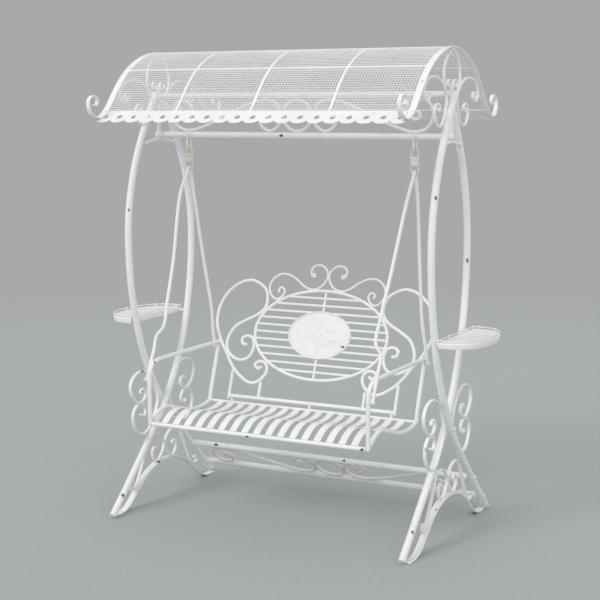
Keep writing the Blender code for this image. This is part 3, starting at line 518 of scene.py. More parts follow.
def on_side(path, x):
    return [Vector((x, point.x, point.y)) for point in path]


def on_back(path, forward=0.0):
    return [back_origin + across * point.x + up_the_back * point.y + back_front * forward
            for point in path]


# Bars and tubes: all are drawn into one shape, and piece() takes out what it holds
shape = bmesh.new()


def round_profile(radius, sides):
    def outline(inset):
        reach = max(radius - inset, radius * 0.04)
        return [(reach * cos(angle), reach * sin(angle)) for angle in turns(sides)]
    return outline


def flat_profile(width, thickness, rounding=0.42, steps=3):
    def outline(inset):
        half = max(width / 2 - inset, width * 0.02)
        rise = max(thickness / 2 - inset, thickness * 0.02)
        corner = min(thickness * rounding, half, rise)
        points = []
        for x, y, start in ((1, 1, 0), (-1, 1, 90), (-1, -1, 180), (1, -1, 270)):
            points += arc((x * (half - corner), y * (rise - corner)), corner, start, start + 90,
                          steps)
        return points
    return outline


def skin(rings, closed=False):
    # Faces between successive rings of points, and over the two ends of an open row
    rings = [[shape.verts.new(point) for point in ring] for ring in rings]
    for low, high in zip(rings, rings[1:] + rings[:1] if closed else rings[1:]):
        for index in range(len(low)):
            shape.faces.new((low[index - 1], low[index], high[index], high[index - 1]))
    if not closed:
        shape.faces.new(rings[0][::-1])
        shape.faces.new(rings[-1])


def sweep(path, profile, side=across, closed=False, cap=0.0, swell=None):
    # Carries a profile along a path; open ends are rounded over the cap length
    lengths = running(path)
    ends = path[-1:] + path + path[:1] if closed else path[:1] + path + path[-1:]
    tangents = [(after - before).normalized() for before, after in zip(ends, ends[2:])]
    stations = list(zip(path, tangents, [0.0] * len(path), lengths))
    if cap > 0.0 and not closed:
        total = lengths[-1]
        cap = min(cap, total / 3)

        def station(at, depth):
            index, share = found_at(lengths, at)
            return (path[index - 1].lerp(path[index], share),
                    tangents[index - 1].lerp(tangents[index], share).normalized(),
                    cap - sqrt(cap * cap - (cap - depth) ** 2), at)

        depths = [cap * share for share in cap_shares]
        stations = [station(depth, depth) for depth in depths] + [
            kept for kept in stations if cap * 1.05 < kept[3] < total - cap * 1.05] + [
            station(total - depth, depth) for depth in depths[::-1]]
    fixed = side is not None
    lean = side.normalized() if fixed else stations[0][1].orthogonal().normalized()
    rings = []
    for place, tangent, inset, at in stations:
        if not fixed:
            lean = (lean - tangent * lean.dot(tangent)).normalized()
        rise = tangent.cross(lean).normalized()
        wide, tall = swell(at) if swell else (1.0, 1.0)
        rings.append([place + lean * (a * wide) + rise * (b * tall) for a, b in profile(inset)])
    skin(rings, closed)


def tube(path, radius, sides, cap=None, **extra):
    sweep(path, round_profile(radius, sides), cap=radius * 0.5 if cap is None else cap, **extra)


def short_tube(start, end, radius, sides, cap=None, **extra):
    tube([start, (start + end) / 2, end], radius, sides, cap, **extra)


def crossbar(end_x, y, z, radius, sides, cap=None, steps=24):
    # A straight tube from side to side
    tube([Vector((x, y, z)) for x in spread(end_x, steps)], radius, sides, cap, side=upward)


def flat_bar(path, width, thickness, x):
    sweep(on_side(path, x), flat_profile(width, thickness), cap=thickness * 0.45)


def around(axis, steps):
    # Unit directions round an axis
    lean = axis.orthogonal().normalized()
    rise = axis.cross(lean)
    return [lean * cos(angle) + rise * sin(angle) for angle in turns(steps)]


def turned(place, axis, rings, sides=24, radius=1.0, height=1.0):
    # A lathe-turned solid: rings of distance along the axis and distance from it
    place, axis = Vector(place), Vector(axis)
    ways = around(axis, sides)
    skin([[place + axis * (height * along) + way * (radius * out) for way in ways]
          for along, out in rings])


# A washer with a low domed head on it
dome_rings = [(0.0, 1.30), (0.18, 1.30), (0.24, 1.22), (0.24, 1.0), (0.5, 0.98)]
dome_rings += [(0.5 + 0.5 * sin(angle), 0.98 * cos(angle))
               for angle in map(radians, (25, 50, 70, 84))]


def hex_bolt(place, axis, radius, height):
    # A washer and a six-sided head with a turned edge
    turned(place, axis, [(0.0, 1.18), (0.16, 1.18), (0.2, 1.12)], 24, radius, height)
    turned(place, axis, [(0.2, 1.0), (0.85, 1.0), (1.0, 0.88)], 6, radius, height)


def lump(place, radius, stretch, seed):
    # A small uneven blob of weld metal under paint
    for vert in bmesh.ops.create_icosphere(shape, subdivisions=2, radius=1.0)["verts"]:
        push = 1.0 + 0.22 * noise.noise(vert.co * 2.3 + Vector((seed, seed * 1.7, -seed)))
        vert.co = Vector(place) + Vector([value * radius * push * grown
                                          for value, grown in zip(vert.co, stretch)])


def bead(place, axis, radius, size, seed):
    # An uneven ring of weld round a tube's end
    path = []
    for way in around(axis, 26):
        push = noise.noise(way * 2.1 + Vector((seed, 0.0, seed)))
        path.append(Vector(place) + way * (radius + size * 0.25 * push) + axis * size * 0.3 * push)

    def swell(at):
        share = at / (2 * pi * radius)
        push = 1.0 + 0.35 * noise.noise(Vector((share * 9.0, seed, 0.0)))
        return push, push

    sweep(path, round_profile(size, 8), side=axis, closed=True, swell=swell)


# Materials
def feed(tree, socket, value):
    # Links another node's socket, or sets a plain value
    if isinstance(value, bpy.types.NodeSocket):
        tree.links.new(value, socket)
    else:
        socket.default_value = value


def grow(tree, kind, settings=None, **inputs):
    # A new node; inputs are given by name, or by number as i0, i1
    made = tree.nodes.new(kind)
    for key, value in (settings or {}).items():
        setattr(made, key, value)
    for key, value in inputs.items():
        feed(tree, made.inputs[int(key[1:]) if key[1:].isdigit() else key], value)
    return made


def blend_colours(tree, share, first, second):
    return grow(tree, "ShaderNodeMix", {"data_type": "RGBA"}, i0=share, i6=first,
                i7=second).outputs[2]


def sums(tree, operation, *values, clamp=False):
    made = grow(tree, "ShaderNodeMath", {"operation": operation, "use_clamp": clamp})
    for socket, value in zip(made.inputs, values):
        feed(tree, socket, value)
    return made.outputs[0]


def ramped(tree, value, low, high, start=0.0, end=1.0):
    return grow(tree, "ShaderNodeMapRange", {"interpolation_type": "SMOOTHSTEP"}, i0=value,
                i1=low, i2=high, i3=start, i4=end).outputs[0]


def stretched(tree, place, stretch):
    return grow(tree, "ShaderNodeMapping", Vector=place, Scale=stretch).outputs[0]


def noise_at(tree, place, scale, detail, roughness=0.55):
    return grow(tree, "ShaderNodeTexNoise", Vector=place, Scale=scale, Detail=detail,
                Roughness=roughness).outputs[0]


# Places where the paint is knocked off: along, across, up, size and the bar's direction there
worn_spots = (
    (-0.075, -0.013, 1.728, 0.0078, "X"), (-0.736, -0.25, 1.39, 0.0056, "Z"),
    (-0.588, 0.253, 0.201, 0.0078, "X"), (0.112, 0.253, 0.201, 0.0066, "X"),
    (0.721, -0.37, 0.11, 0.0072, "Z"), (0.752, -0.229, 1.485, 0.006, "Z"),
    (0.721, 0.232, 1.182, 0.0062, "Z"), (-0.723, -0.187, 0.632, 0.0078, "Y"),
    (-0.716, -0.068, 0.1715, 0.0082, "Y"), (-0.704, -0.392, 0.091, 0.0098, "Z"),
    (0.736, -0.39, 1.918, 0.006, "Y"), (0.729, -0.33, 1.955, 0.005, "Y"),
    (0.734, -0.267, 0.443, 0.007, "Z"), (0.736, -0.137, 0.149, 0.007, "Y"),
    (0.737, 0.387, 1.811, 0.007, "Y"), (-0.034, -0.415, 0.444, 0.0066, "X"),
    (0.511, -0.416, 0.449, 0.0072, "X"), (0.716, 0.06, 0.545, 0.0065, "Z"),
    (-0.53, -0.376, 0.72, 0.0068, "Z"), (-0.723, -0.252, 0.17, 0.0055, "Z"),
    (-0.723, -0.192, 0.541, 0.0045, "Y"),
)
plaque_spots = ((0.128, 0.196, 0.756, 0.008, "X"), (0.1, 0.244, 0.89, 0.005, "X"))
# A chip is drawn out along its bar
spot_stretch = {"X": (0.55, 1.0, 1.0), "Y": (1.0, 0.55, 1.0), "Z": (1.0, 1.0, 0.5)}
soot_colour = (0.36, 0.34, 0.28)
run_colour = (0.42, 0.37, 0.28)
algae_colour = (0.37, 0.38, 0.25)
rust_colour = (0.36, 0.24, 0.17)
bare_colour = (0.085, 0.07, 0.07)


def paint(name, colour, shade, dirt, chips, roughness, grain, spots=()):
    made = bpy.data.materials.new(name)
    made.use_nodes = True
    tree = made.node_tree
    shader = tree.nodes["Principled BSDF"]
    coordinates = grow(tree, "ShaderNodeTexCoord").outputs
    place = coordinates["Object"]
    ramp, cloud = partial(ramped, tree), partial(noise_at, tree)
    times, plus, most = [partial(sums, tree, operation) for operation in (
        "MULTIPLY", "ADD", "MAXIMUM")]
    patches = cloud(place, 24.0, 5.0, 0.62)
    fine = cloud(place, 210.0, 3.0)
    coarse = cloud(place, 95.0, 2.0)
    drips = cloud(stretched(tree, place, (60.0, 60.0, 7.0)), 1.0, 4.0, 0.6)
    facing = grow(tree, "ShaderNodeSeparateXYZ", Vector=coordinates["Normal"]).outputs[2]
    mossy = times(ramp(facing, 0.15, 0.95), ramp(patches, 0.42, 0.7))
    # Chips down to dark metal, each with a thin rusty edge
    cells = grow(tree, "ShaderNodeTexVoronoi", Vector=place, Scale=52.0).outputs
    keep = grow(tree, "ShaderNodeSeparateColor", Color=cells["Color"]).outputs[0]
    chosen = sums(tree, "GREATER_THAN", keep, 1.0 - chips)
    uneven = plus(cells["Distance"], times(fine, 0.16))
    edge = times(ramp(uneven, 0.24, 0.19), chosen)
    core = times(ramp(uneven, 0.19, 0.165), chosen)
    drawn = {run: stretched(tree, place, stretch) for run, stretch in spot_stretch.items() if spots}
    for *centre, size, run in spots:
        centre = tuple(value * scale for value, scale in zip(centre, spot_stretch[run]))
        away = grow(tree, "ShaderNodeVectorMath", {"operation": "DISTANCE"}, i0=drawn[run],
                    i1=centre).outputs["Value"]
        away = plus(plus(away, times(fine, size * 0.9)), times(coarse, size * 1.3))
        edge = most(edge, ramp(away, size * 2.15, size * 1.85))
        core = most(core, ramp(away, size * 1.88, size * 1.62))
    # Paint yellows in broad soft areas and greys in patches, under the chips
    base = (*colour, 1.0)
    for share, top in ((ramp(cloud(place, 3.1, 2.0), 0.38, 0.66, 0.0, 0.75), shade),
                       (times(ramp(patches, 0.52, 0.78), dirt), soot_colour),
                       (times(ramp(drips, 0.56, 0.76), dirt * 0.8), run_colour),
                       (times(mossy, dirt * 0.8), algae_colour),
                       (times(edge, 0.55), rust_colour), (core, bare_colour)):
        base = blend_colours(tree, share, base, (*top, 1.0))
    rough = plus(times(patches, 0.22), roughness - 0.11)
    height = plus(times(fine, 0.00016 * grain), times(cloud(place, 75.0, 2.0), 0.0006 * grain))
    height = sums(tree, "SUBTRACT", height, times(core, 0.0003))
    bump = grow(tree, "ShaderNodeBump", Height=height, Distance=1.0, Strength=0.55).outputs[0]
    for key, value in (("Base Color", base), ("Normal", bump), ("IOR", 1.5),
                       ("Roughness", plus(rough, times(core, 0.35), clamp=True))):
        feed(tree, shader.inputs[key], value)
    return made


white = paint("aged_white_paint", (0.865, 0.86, 0.87), (0.84, 0.83, 0.81), 0.1, 0.018, 0.4, 0.6,
              worn_spots)
cream = paint("aged_cream_paint", (0.865, 0.86, 0.835), (0.83, 0.81, 0.76), 0.12, 0.02, 0.42, 0.7,
              worn_spots[:1])
mesh_coat = paint("aged_mesh_paint", (0.85, 0.84, 0.85), (0.78, 0.76, 0.74), 0.16, 0.0, 0.5, 0.3)
plaque_coat = paint("plaque_paint", (0.83, 0.825, 0.835), (0.80, 0.79, 0.76), 0.08, 0.0, 0.5,
                    0.35, plaque_spots)
swivel_coat = paint("swivel_paint", (0.77, 0.735, 0.66), (0.60, 0.54, 0.45), 0.3, 0.10, 0.5, 0.8)
chipped = paint("chipped_white_paint", (0.86, 0.855, 0.86), (0.80, 0.78, 0.73), 0.2, 0.16, 0.45,
                0.8)


def placed(name, data):
    made = bpy.data.objects.new(name, data)
    bpy.context.scene.collection.objects.link(made)
    return made


def piece(name, node, body="frame", coat=white, slot="white_paint", sharp=42):
    bmesh.ops.recalc_face_normals(shape, faces=shape.faces)
    mesh = bpy.data.meshes.new(name)
    shape.to_mesh(mesh)
    shape.clear()
    mesh.shade_smooth()
    mesh.set_sharp_from_angle(angle=radians(sharp))
    mesh.materials.append(coat)
    made = placed(name, mesh)
    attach(made, body)
    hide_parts(node)


sides = {-1: "left_", 1: "right_"}

# Side frames
leg_offset = leg_radius + gap / 2
front_leg = scaled(leg_path_shares)
rear_leg = mirrored(front_leg)
octagon_slope = tan(radians(22.5))


def clear_of_legs(width, thickness, legs=(front_leg, rear_leg)):
    # The legs, each with the distance that a flat bar keeps from it
    covered = max(0.0, leg_offset - width / 2)
    reach = leg_radius - covered * octagon_slope + thickness / 2 + weld_gap
    return [(leg, reach) for leg in legs]


end_arch = whole(scaled(end_arch_shares))
arch_top_z = max(point.y for point in end_arch)
hoop_apex_z = arch_top_z - arch_strip[1] / 2 - upper_bar[1] / 2 - weld_gap
hoop_half = keep_clear(scaled(hoop_shares), clear_of_legs(*upper_bar))
hoop = whole([Vector((0.0, hoop_apex_z))] + hoop_half[::-1])
upper_scroll = keep_clear(scaled(upper_scroll_shares), [(hoop, upper_bar[1] - weld_overlap)])
leg_rests = clear_of_legs(*scroll_bar)
crossing_scroll = touching(keep_clear(scaled(crossing_scroll_shares), leg_rests), leg_rests)
foot_arch = whole(keep_clear(scaled(foot_arch_shares), clear_of_legs(
    *foot_strip, [rear_leg])))
centre_line = [Vector((0.0, 0.0)), Vector((0.0, frame_height))]
foot_scroll_rests = [
    leg_rests[1], (foot_arch, foot_strip[1] / 2 + scroll_bar[1] / 2 + weld_gap),
    (centre_line, scroll_bar[1] / 2 - weld_overlap),
]
foot_scroll = touching(keep_clear(scaled(foot_scroll_shares), foot_scroll_rests),
                       foot_scroll_rests)
finial = keep_clear(scaled(finial_shares), [(centre_line, finial_bar[1] / 2 - weld_overlap)])
brace_top_z = lower_beam_z - beam_radius - brace_radius - weld_gap
brace_reach = reach_at(front_leg, brace_top_z - brace_drop) - brace_end_clearance
brace = [Vector((reach * brace_reach, brace_top_z - abs(reach) ** brace_power * brace_drop))
         for reach in (-1, -0.5, 0, 0.5, 1)]
outer_side_x = frame_half_width + leg_offset + leg_radius + gap
stretcher_places = {level: (reach_at(rear_leg, z), z) for level, z in (
    ("upper", upper_stretcher_z), ("lower", lower_stretcher_z))}
strap_y = beam_radius + strap_radius + gap

hoop_line = curled(curled(hoop[::-1], 110, 0.0065)[::-1], 110, 0.0065)
upper_scroll_line = curled(upper_scroll, 120, 0.006)
arch_line = curled(end_arch, 100, 0.008, True)
crossing_line = curled(crossing_scroll, 80, 0.0085, True)
foot_scroll_line = curled(foot_scroll, 60, 0.0085, True)
finial_line = curled(finial, 110, 0.005)


def tray_outline(inset, steps):
    reach = tray_half_length - inset
    points = []
    for step in range(steps + 1):
        angle = pi * (step / steps - 0.5)
        out = max(0.0, cos(angle)) ** (2 / tray_squareness)
        along = copysign(abs(sin(angle)) ** (2 / tray_squareness), sin(angle))
        points.append(Vector((inset + (tray_depth - 2 * inset) * out, reach * along)))
    return points + [Vector((inset, y)) for y in spread(-reach, 10)[1:-1]]


# The tray's rings from its floor over the rim and the hem: inset and height
tray_hem_z = tray_top_z - 0.026
tray_rings = [(0.030, tray_top_z - 0.001), (0.012, tray_top_z - 0.001),
              (0.0108, tray_top_z - 0.0007), (0.0098, tray_top_z - 0.0002),
              (0.009, tray_top_z), (0.0075, tray_top_z)]
tray_rings += [(0.005 * (1 - sin(angle)), tray_top_z - 0.005 * (1 - cos(angle)))
               for angle in map(radians, (0, 25, 50, 75, 90))]
tray_rings += [(0.0048, tray_hem_z + 0.004), (0.0052, tray_hem_z + 0.001), (0.0062, tray_hem_z),
               (0.0074, tray_hem_z + 0.001), (0.0076, tray_hem_z + 0.004),
               (0.003, tray_top_z - 0.005), (0.0062, tray_top_z - 0.0022)]


def make_tray(side, label):
    # A pressed dish with a rounded shoulder and a hem
    skin([[(side * (outer_side_x + point.x), point.y, z)
           for point in tray_outline(inset, 60)] for inset, z in tray_rings])
    y = reach_at(front_leg, spacer_z)
    start, end = [Vector((side * x, y, spacer_z))
                  for x in (frame_half_width + gap, outer_side_x + tray_plate)]
    short_tube(start, end, tray_spacer_radius, 20, 0.0006, side=None)
    piece(label + "tray_dish", label + "tray")


# The posts' places on the curved rail, and the height and radius of a post's rings
gallery_posts = (0, 15, 36, 57, 72)
post_rings = ((0.0, 0.005), (0.0008, 0.005), (0.0016, 0.0034), (0.004, 0.0032), (0.0056, 0.0044),
              (0.0074, 0.0054), (0.0094, 0.0056), (0.0114, 0.0048), (0.0126, 0.0032),
              (0.0131, 0.0012))


def make_tray_rail(side, label):
    top = tray_top_z + 0.0085
    outline = [Vector((side * (outer_side_x + point.x), point.y, top))
               for point in tray_outline(tray_rail_inset, 72)]
    sweep(outline, round_profile(tray_rail_radius, 10), side=upward, closed=True)
    feet = [outline[index] for index in gallery_posts]
    feet += [Vector((side * (outer_side_x + tray_rail_inset), share * tray_half_length))
             for share in (-0.35, 0.35)]
    for foot in feet:
        turned((foot.x - side * 0.0017, foot.y, tray_top_z), upward, post_rings, 16)
    piece(label + "tray_gallery", label + "tray_rail", coat=chipped)


def make_strap(side, label):
    ends = [(strap_y, lower_beam_z - 0.02), (strap_y, lower_beam_z + 0.003)]
    bow = arc((0.0, strap_bow_z + strap_y), strap_y, 180, 360)
    line = [Vector((-y, z)) for y, z in ends[::-1]] + bow + [Vector(end) for end in ends]
    tube(on_side(line, side * pivot_x), strap_radius, 12)
    for facing in sides:
        place = (side * pivot_x, facing * (strap_y + strap_radius * 0.5),
                 lower_beam_z - strap_radius)
        hex_bolt(place, (0.0, facing, 0.0), strap_bolt_radius, strap_bolt_length)
        lump((side * pivot_x, facing * strap_y, lower_beam_z + 0.003), 0.0055,
             (1.0, 0.8, 0.7), side + facing)
    piece(label + "hanger", label + "hanger_strap", coat=cream)


def draw_bars(name, node, lines, bar, x, lumps=()):
    # Flat bars that share one plane and one piece
    for line in lines:
        flat_bar(smooth(line), *bar, x)
    for place, size, stretch, seed in lumps:
        lump((x, place.x, place.y), size, stretch, seed)
    piece(name, node)


for side, label in sides.items():
    middle = side * frame_half_width
    inner = side * (frame_half_width - leg_offset)
    outer = side * (frame_half_width + leg_offset)

    tube(on_side(smooth(front_leg, 0.014), inner), leg_radius + paint_build, 24, 0.0025)
    bead((inner, front_leg[-1].x, frame_height - 0.004), upward, leg_radius, 0.003, side)
    piece(label + "front_leg", label + "front_foot_tube")

    tube(on_side(smooth(rear_leg, 0.014), outer), leg_radius + paint_build, 24, 0.0025)
    turned((side * (outer_side_x - weld_gap), 0.0, height_on(front_leg, 0.0)),
           (side, 0, 0), dome_rings, 24, crossing_bolt_radius, side_bolt_length)
    piece(label + "rear_leg", label + "rear_foot_tube")

    scrolls = both_ways(upper_scroll_line)
    draw_bars(label + "upper_scrolls", label + "upper_scrollwork", (hoop_line, *scrolls),
              drawn_upper, middle,
              [(path[0], 0.0055, (1.0, 1.0, 1.2), path[0].x * 90) for path in scrolls])
    draw_bars(label + "low_scrolls", label + "foot_scrolls", both_ways(foot_scroll_line),
              drawn_scroll, middle)
    draw_bars(label + "finials", label + "top_finials", both_ways(finial_line), finial_bar, middle,
              [(Vector((0.0, finial[0].y + 0.003)), 0.007, (1.1, 0.9, 0.8), side * 3.0)])
    for facing, line in zip(("rear_", "front_"), both_ways(crossing_line)):
        draw_bars(label + facing + "scroll", label + facing + "crossing_scroll", [line],
                  drawn_scroll, middle)

    reach = cad_box[1][1] - arch_strip[1] / 2 - 0.0001
    line = [Vector((min(max(point.x, -reach), reach), point.y)) for point in smooth(arch_line)]
    sweep(on_side(line, middle), flat_profile(*arch_strip),
          cap=arch_strip[1] * 0.45, swell=tapered(arch_line, 0.62, 0.11, 0.25))
    piece(label + "canopy_arch", label + "end_arch")

    thickness = foot_strip[1] + 2 * paint_build
    line = [Vector((point.x, max(point.y, thickness / 2))) for point in smooth(foot_arch)]
    flat_bar(line, foot_strip[0] + 3 * paint_build, thickness, middle)
    piece(label + "foot_strip", label + "foot_arch")

    make_tray(side, label)
    make_tray_rail(side, label)
    make_strap(side, label)

    foot, top = [Vector((middle, 0.0, z)) for z in (lower_beam_z + beam_radius, post_top_z)]
    short_tube(foot, top, post_radius, 20, 0.0015)
    bead(foot - upward * 0.001, upward, post_radius, 0.0026, side)
    piece(label + "post", label + "centre_post")

    tube(on_side(smooth(brace, 0.006), middle), brace_radius + 2.5 * paint_build, 16)
    piece(label + "brace", label + "arch_brace")

    for level, (y, z) in stretcher_places.items():
        turned((side * outer_side_x, y, z), (side, 0, 0), dome_rings, 24,
               side_bolt_radius * 0.8, side_bolt_length)
        piece(label + level + "_cap_nut", label + level + "_stretcher_bolt")


# Beams, stretchers and their scroll rows
def cross_tube(name, node, end_x, y, z, **extra):
    crossbar(end_x, y, z, beam_radius + 1.5 * paint_build, 24, 0.002)
    piece(name, node, **extra)


def scroll_row(name, node, place, plane_up, span, up):
    height = span - 2 * (beam_radius + row_rod_radius + weld_gap)
    scroll = [Vector((x * row_half_length, up * y * height)) for x, y in row_scroll_shares]
    ring_reach = min(point.x for point in scroll) - 2 * row_rod_radius + 2 * weld_overlap
    normal = across.cross(plane_up)
    radius = row_rod_radius + 2 * paint_build

    def drawn(path):
        return [place + across * point.x + plane_up * point.y for point in path]

    sweep(drawn(ellipse((0.0, 0.0), ring_reach, height / 2, turns(56))),
          round_profile(radius, 12), side=normal, closed=True)
    welds = [(Vector((0.0, rise * height / 2)), rise, rise * 5.0) for rise in (-1, 1)]
    for path in both_ways(scroll):
        line = drawn(smooth(curled(path, 130, 0.0085, True)))
        tube(line, radius, 12, row_rod_radius * 0.8, side=normal, swell=knobbed(line, 1.25))
        for rise in (-1, 1):
            touch = max(path, key=lambda point: rise * point.y)
            welds.append((touch, rise, touch.x * 40))
    for point, rise, seed in welds:
        spot = drawn([point + Vector((0.0, rise * row_rod_radius))])[0]
        lump(spot, 0.005, (1.7, 1.0, 0.8), seed)
    piece(name, node, coat=cream, slot="cream_paint")


cross_tube("top_beam", "upper_beam", frame_half_width - leg_offset - leg_radius - gap, 0.0,
           upper_beam_z, coat=cream, slot="cream_paint")
cross_tube("hanging_beam", "lower_beam", frame_half_width + lower_beam_overhang, 0.0,
           lower_beam_z, coat=cream, slot="cream_paint")
for level, (y, z) in stretcher_places.items():
    cross_tube(level + "_ground_tube", level + "_stretcher",
               frame_half_width + leg_offset - leg_radius - gap, y, z)
high, low = [Vector((0.0, *place)) for place in stretcher_places.values()]
scroll_row("beam_scroll_row", "upper_beam_scrolls", upward * (upper_beam_z + lower_beam_z) / 2,
           upward, upper_beam_z - lower_beam_z, 1)
scroll_row("ground_scroll_row", "stretcher_scrolls", (low + high) / 2, (high - low).normalized(),
           (high - low).length, -1)

# Canopy
arch_half = end_arch[len(end_arch) // 2:]
sheet_half = [point for point in arch_half if point.x < sheet_half_depth]
sheet_half.append(Vector((sheet_half_depth, height_on(arch_half, sheet_half_depth))))
sheet_path = smooth(whole(sheet_half), 0.004)
sheet_half_length = frame_half_width - arch_strip[0] / 2 - gap
mesh_pitch = 0.0131
wire_width = 0.0028
wire_depth = 0.0017
wire_profile = flat_profile(wire_width, wire_depth, 0.4, 1)
rib_lift = sheet_thickness / 2 + rib_bar[1] / 2 + weld_gap - wire_depth - 0.001
rod_lift = canopy_rod_radius - wire_depth - 0.0008
valance_down = Vector((cos(valance_tilt), -sin(valance_tilt)))
valance_top = sheet_path[-1] + valance_down * weld_gap


def make_wire_mesh():
    # A net of square openings bent over the arches
    rows = round(running(sheet_path)[-1] / mesh_pitch)
    columns = round(2 * sheet_half_length / mesh_pitch)
    line = evenly(sheet_path, rows)
    for x in spread(sheet_half_length - wire_width / 2, columns):
        sweep(on_side(line[::2] if rows % 2 == 0 else line, x), wire_profile)
    for index, point in enumerate(line):
        before, after = line[max(0, index - 1)], line[min(rows, index + 1)]
        along = (after - before).normalized()
        point = point + Vector((-along.y, along.x)) * wire_depth * 0.45
        sweep([Vector((x, point.x, point.y)) for x in spread(sheet_half_length, 1)],
              wire_profile, side=Vector((0.0, along.x, along.y)))
    piece("wire_mesh", "canopy_mesh", coat=mesh_coat, slot="mesh_paint", sharp=60)


def make_canopy_frame():
    rib_path = shifted(sheet_path, rib_lift)
    rod_path = shifted(sheet_path, rod_lift)
    for share in rib_shares:
        sweep(on_side(rib_path, share * frame_half_width), flat_profile(*rib_bar), cap=0.0015)
    for reach in (purlin_half_spread, rod_path[-1].x):
        z = height_on(rod_path[len(rod_path) // 2:], reach)
        for y in (-reach, reach):
            crossbar(frame_half_width + arch_strip[0] / 2, y, z, canopy_rod_radius, 12, steps=20)
            for share in rib_shares:
                lump((share * frame_half_width, y, z), 0.006, (1.1, 0.8, 0.7), y * 31 + share)
            for facing in sides:
                lump((facing * frame_half_width, y, z + 0.002), 0.0065, (1.3, 1.0, 0.6),
                     y * 17 + facing)
    piece("canopy_ribs", "canopy_frame")


def make_valance(name, node, facing):
    # A tilted strip with a scalloped edge and an oval hole in each scallop
    pitch = 2 * valance_half_length / scallop_count
    normal = Vector((-valance_down.y, valance_down.x)) * valance_thickness / 2
    hole_width, hole_height = drawn_hole

    def at(point, level):
        flat = valance_top + valance_down * -point.y + normal * level
        return Vector((point.x, facing * flat.x, flat.y))

    for index in range(scallop_count):
        middle = -valance_half_length + (index + 0.5) * pitch
        left, right = middle - pitch / 2, middle + pitch / 2
        inner_left, inner_right = max(left, -sheet_half_length), min(right, sheet_half_length)
        top_line = [Vector((inner_left + (inner_right - inner_left) * step / 14, 0.0))
                    for step in range(15)]
        notches = [Vector((x, -valance_notch_drop)) for x in (inner_right, right, left, inner_left)]
        scallop = ellipse((middle, -valance_drop), pitch / 2, -scallop_depth,
                          [pi * step / 14 for step in range(15)])
        outline = top_line + notches[:2] + scallop + notches[2:]
        centre = Vector((middle, -valance_hole_drop))
        angles = [atan2(way.y / hole_height, way.x / hole_width)
                  for way in (point - centre for point in outline)]
        hole = ellipse(centre, hole_width / 2, hole_height / 2, angles)
        rings = [[shape.verts.new(at(point, level)) for point in path]
                 for path, level in ((outline, -1), (hole, -1), (hole, 1), (outline, 1))]
        for first, second in zip(rings, rings[1:] + rings[:1]):
            for step, there in enumerate(outline):
                # No wall is needed where two scallops meet
                x = outline[step - 1].x
                inside = abs(x) < valance_half_length - 0.001 and abs(x) != sheet_half_length
                if second is rings[0] and x == there.x and inside:
                    continue
                shape.faces.new((first[step - 1], first[step], second[step], second[step - 1]))
    bmesh.ops.remove_doubles(shape, verts=shape.verts, dist=0.00001)
    bmesh.ops.dissolve_degenerate(shape, edges=shape.edges, dist=0.00001)
    piece(name, node)


make_wire_mesh()
make_canopy_frame()
make_valance("front_scalloped_edge", "front_valance", -1)
make_valance("rear_scalloped_edge", "rear_valance", 1)

# Swivels and hanging rods
frame_hinge_z = strap_bow_z + strap_radius + shackle_radius + gap
rod_bend_radius = shackle_radius + rod_radius + gap
rod_outer_x = arm_x + arm_radius + rod_radius + gap
# The swivel's turned block: place along it and share of its radius
block_shares = ((0.0, 0.84), (0.03, 0.92), (0.09, 0.98), (0.15, 1.0), (0.45, 1.0), (0.475, 0.955),
                (0.525, 0.955), (0.55, 1.0), (0.85, 1.0), (0.91, 0.98), (0.97, 0.92), (1.0, 0.84))


def make_swivel(side, label):
    x = side * pivot_x
    reach = Vector((shackle_bow, 0.0))
    for end_z, hinge_z, up in ((block_top_z, frame_hinge_z, 1), (block_bottom_z, seat_hinge_z, -1)):
        end = Vector((x, end_z - up * shackle_radius))
        bow = arc((x, hinge_z - up * shackle_bow), shackle_bow, 180, 180 - 180 * up)
        line = [end - reach, *bow, end + reach]
        tube([Vector((point.x, 0.0, point.y)) for point in line], shackle_radius, 12,
             side=Vector((0.0, 1.0, 0.0)))
    turned((x, 0.0, block_bottom_z - block_build), upward, block_shares, 40,
           block_radius + block_build, block_top_z - block_bottom_z + 2 * block_build)
    for facing in sides:
        for z in (block_top_z, block_bottom_z):
            lump((x + facing * shackle_bow, 0.0, z), 0.0058, (1.0, 1.0, 0.55), z * 9 + facing)
    piece(label + "swivel_link", label + "swivel", "links", swivel_coat, "cream_paint")


def above_arm(across_share, rise_share):
    return across_share * seat_depth, arm_z + rise_share * (seat_hinge_z - arm_z)


def make_rods(side, label):
    lines = [[Vector((side * (pivot_x + (rod_inner_x - pivot_x) * mix), *above_arm(y, z)))
              for mix, y, z in shares]
             + [Vector((side * rod_outer_x, *above_arm(y, z))) for y, z in end_shares]
             for shares, end_shares in ((front_rod_shares, front_rod_end_shares),
                                        (rear_rod_shares, rear_rod_end_shares))]
    bend = on_side(arc((0.0, seat_hinge_z), rod_bend_radius, 190, -10, 10), side * pivot_x)
    tube(smooth(lines[0][::-1] + bend + lines[1], 0.010), rod_radius + paint_build, 16,
         0.003, side=None)
    for line in lines:
        place = (side * (rod_outer_x + rod_radius * 0.85), line[-1].y,
                 line[-1].z + rod_bolt_radius)
        hex_bolt(place, (side, 0, 0), rod_bolt_radius * 0.85, rod_bolt_length)
    piece(label + "suspension_rod", label + "hanging_rods", "seat")


# Arms and seat
def above_rail(shares):
    return [Vector((reach * seat_depth, front_rail_z + rise * (arm_z - front_rail_z)))
            for reach, rise in shares]


arm_path = above_rail(arm_path_shares)
slat_path = [point + Vector((0.0, seat_height))
             for point in scaled(seat_profile_shares, seat_depth)]
side_rail_path = above_rail(rear_post_shares) + slat_path[1:-1]
side_rail_path.append(Vector((side_rail_front_y, height_on(slat_path, side_rail_front_y))))
inner_arm_x = arm_x - arm_radius - gap

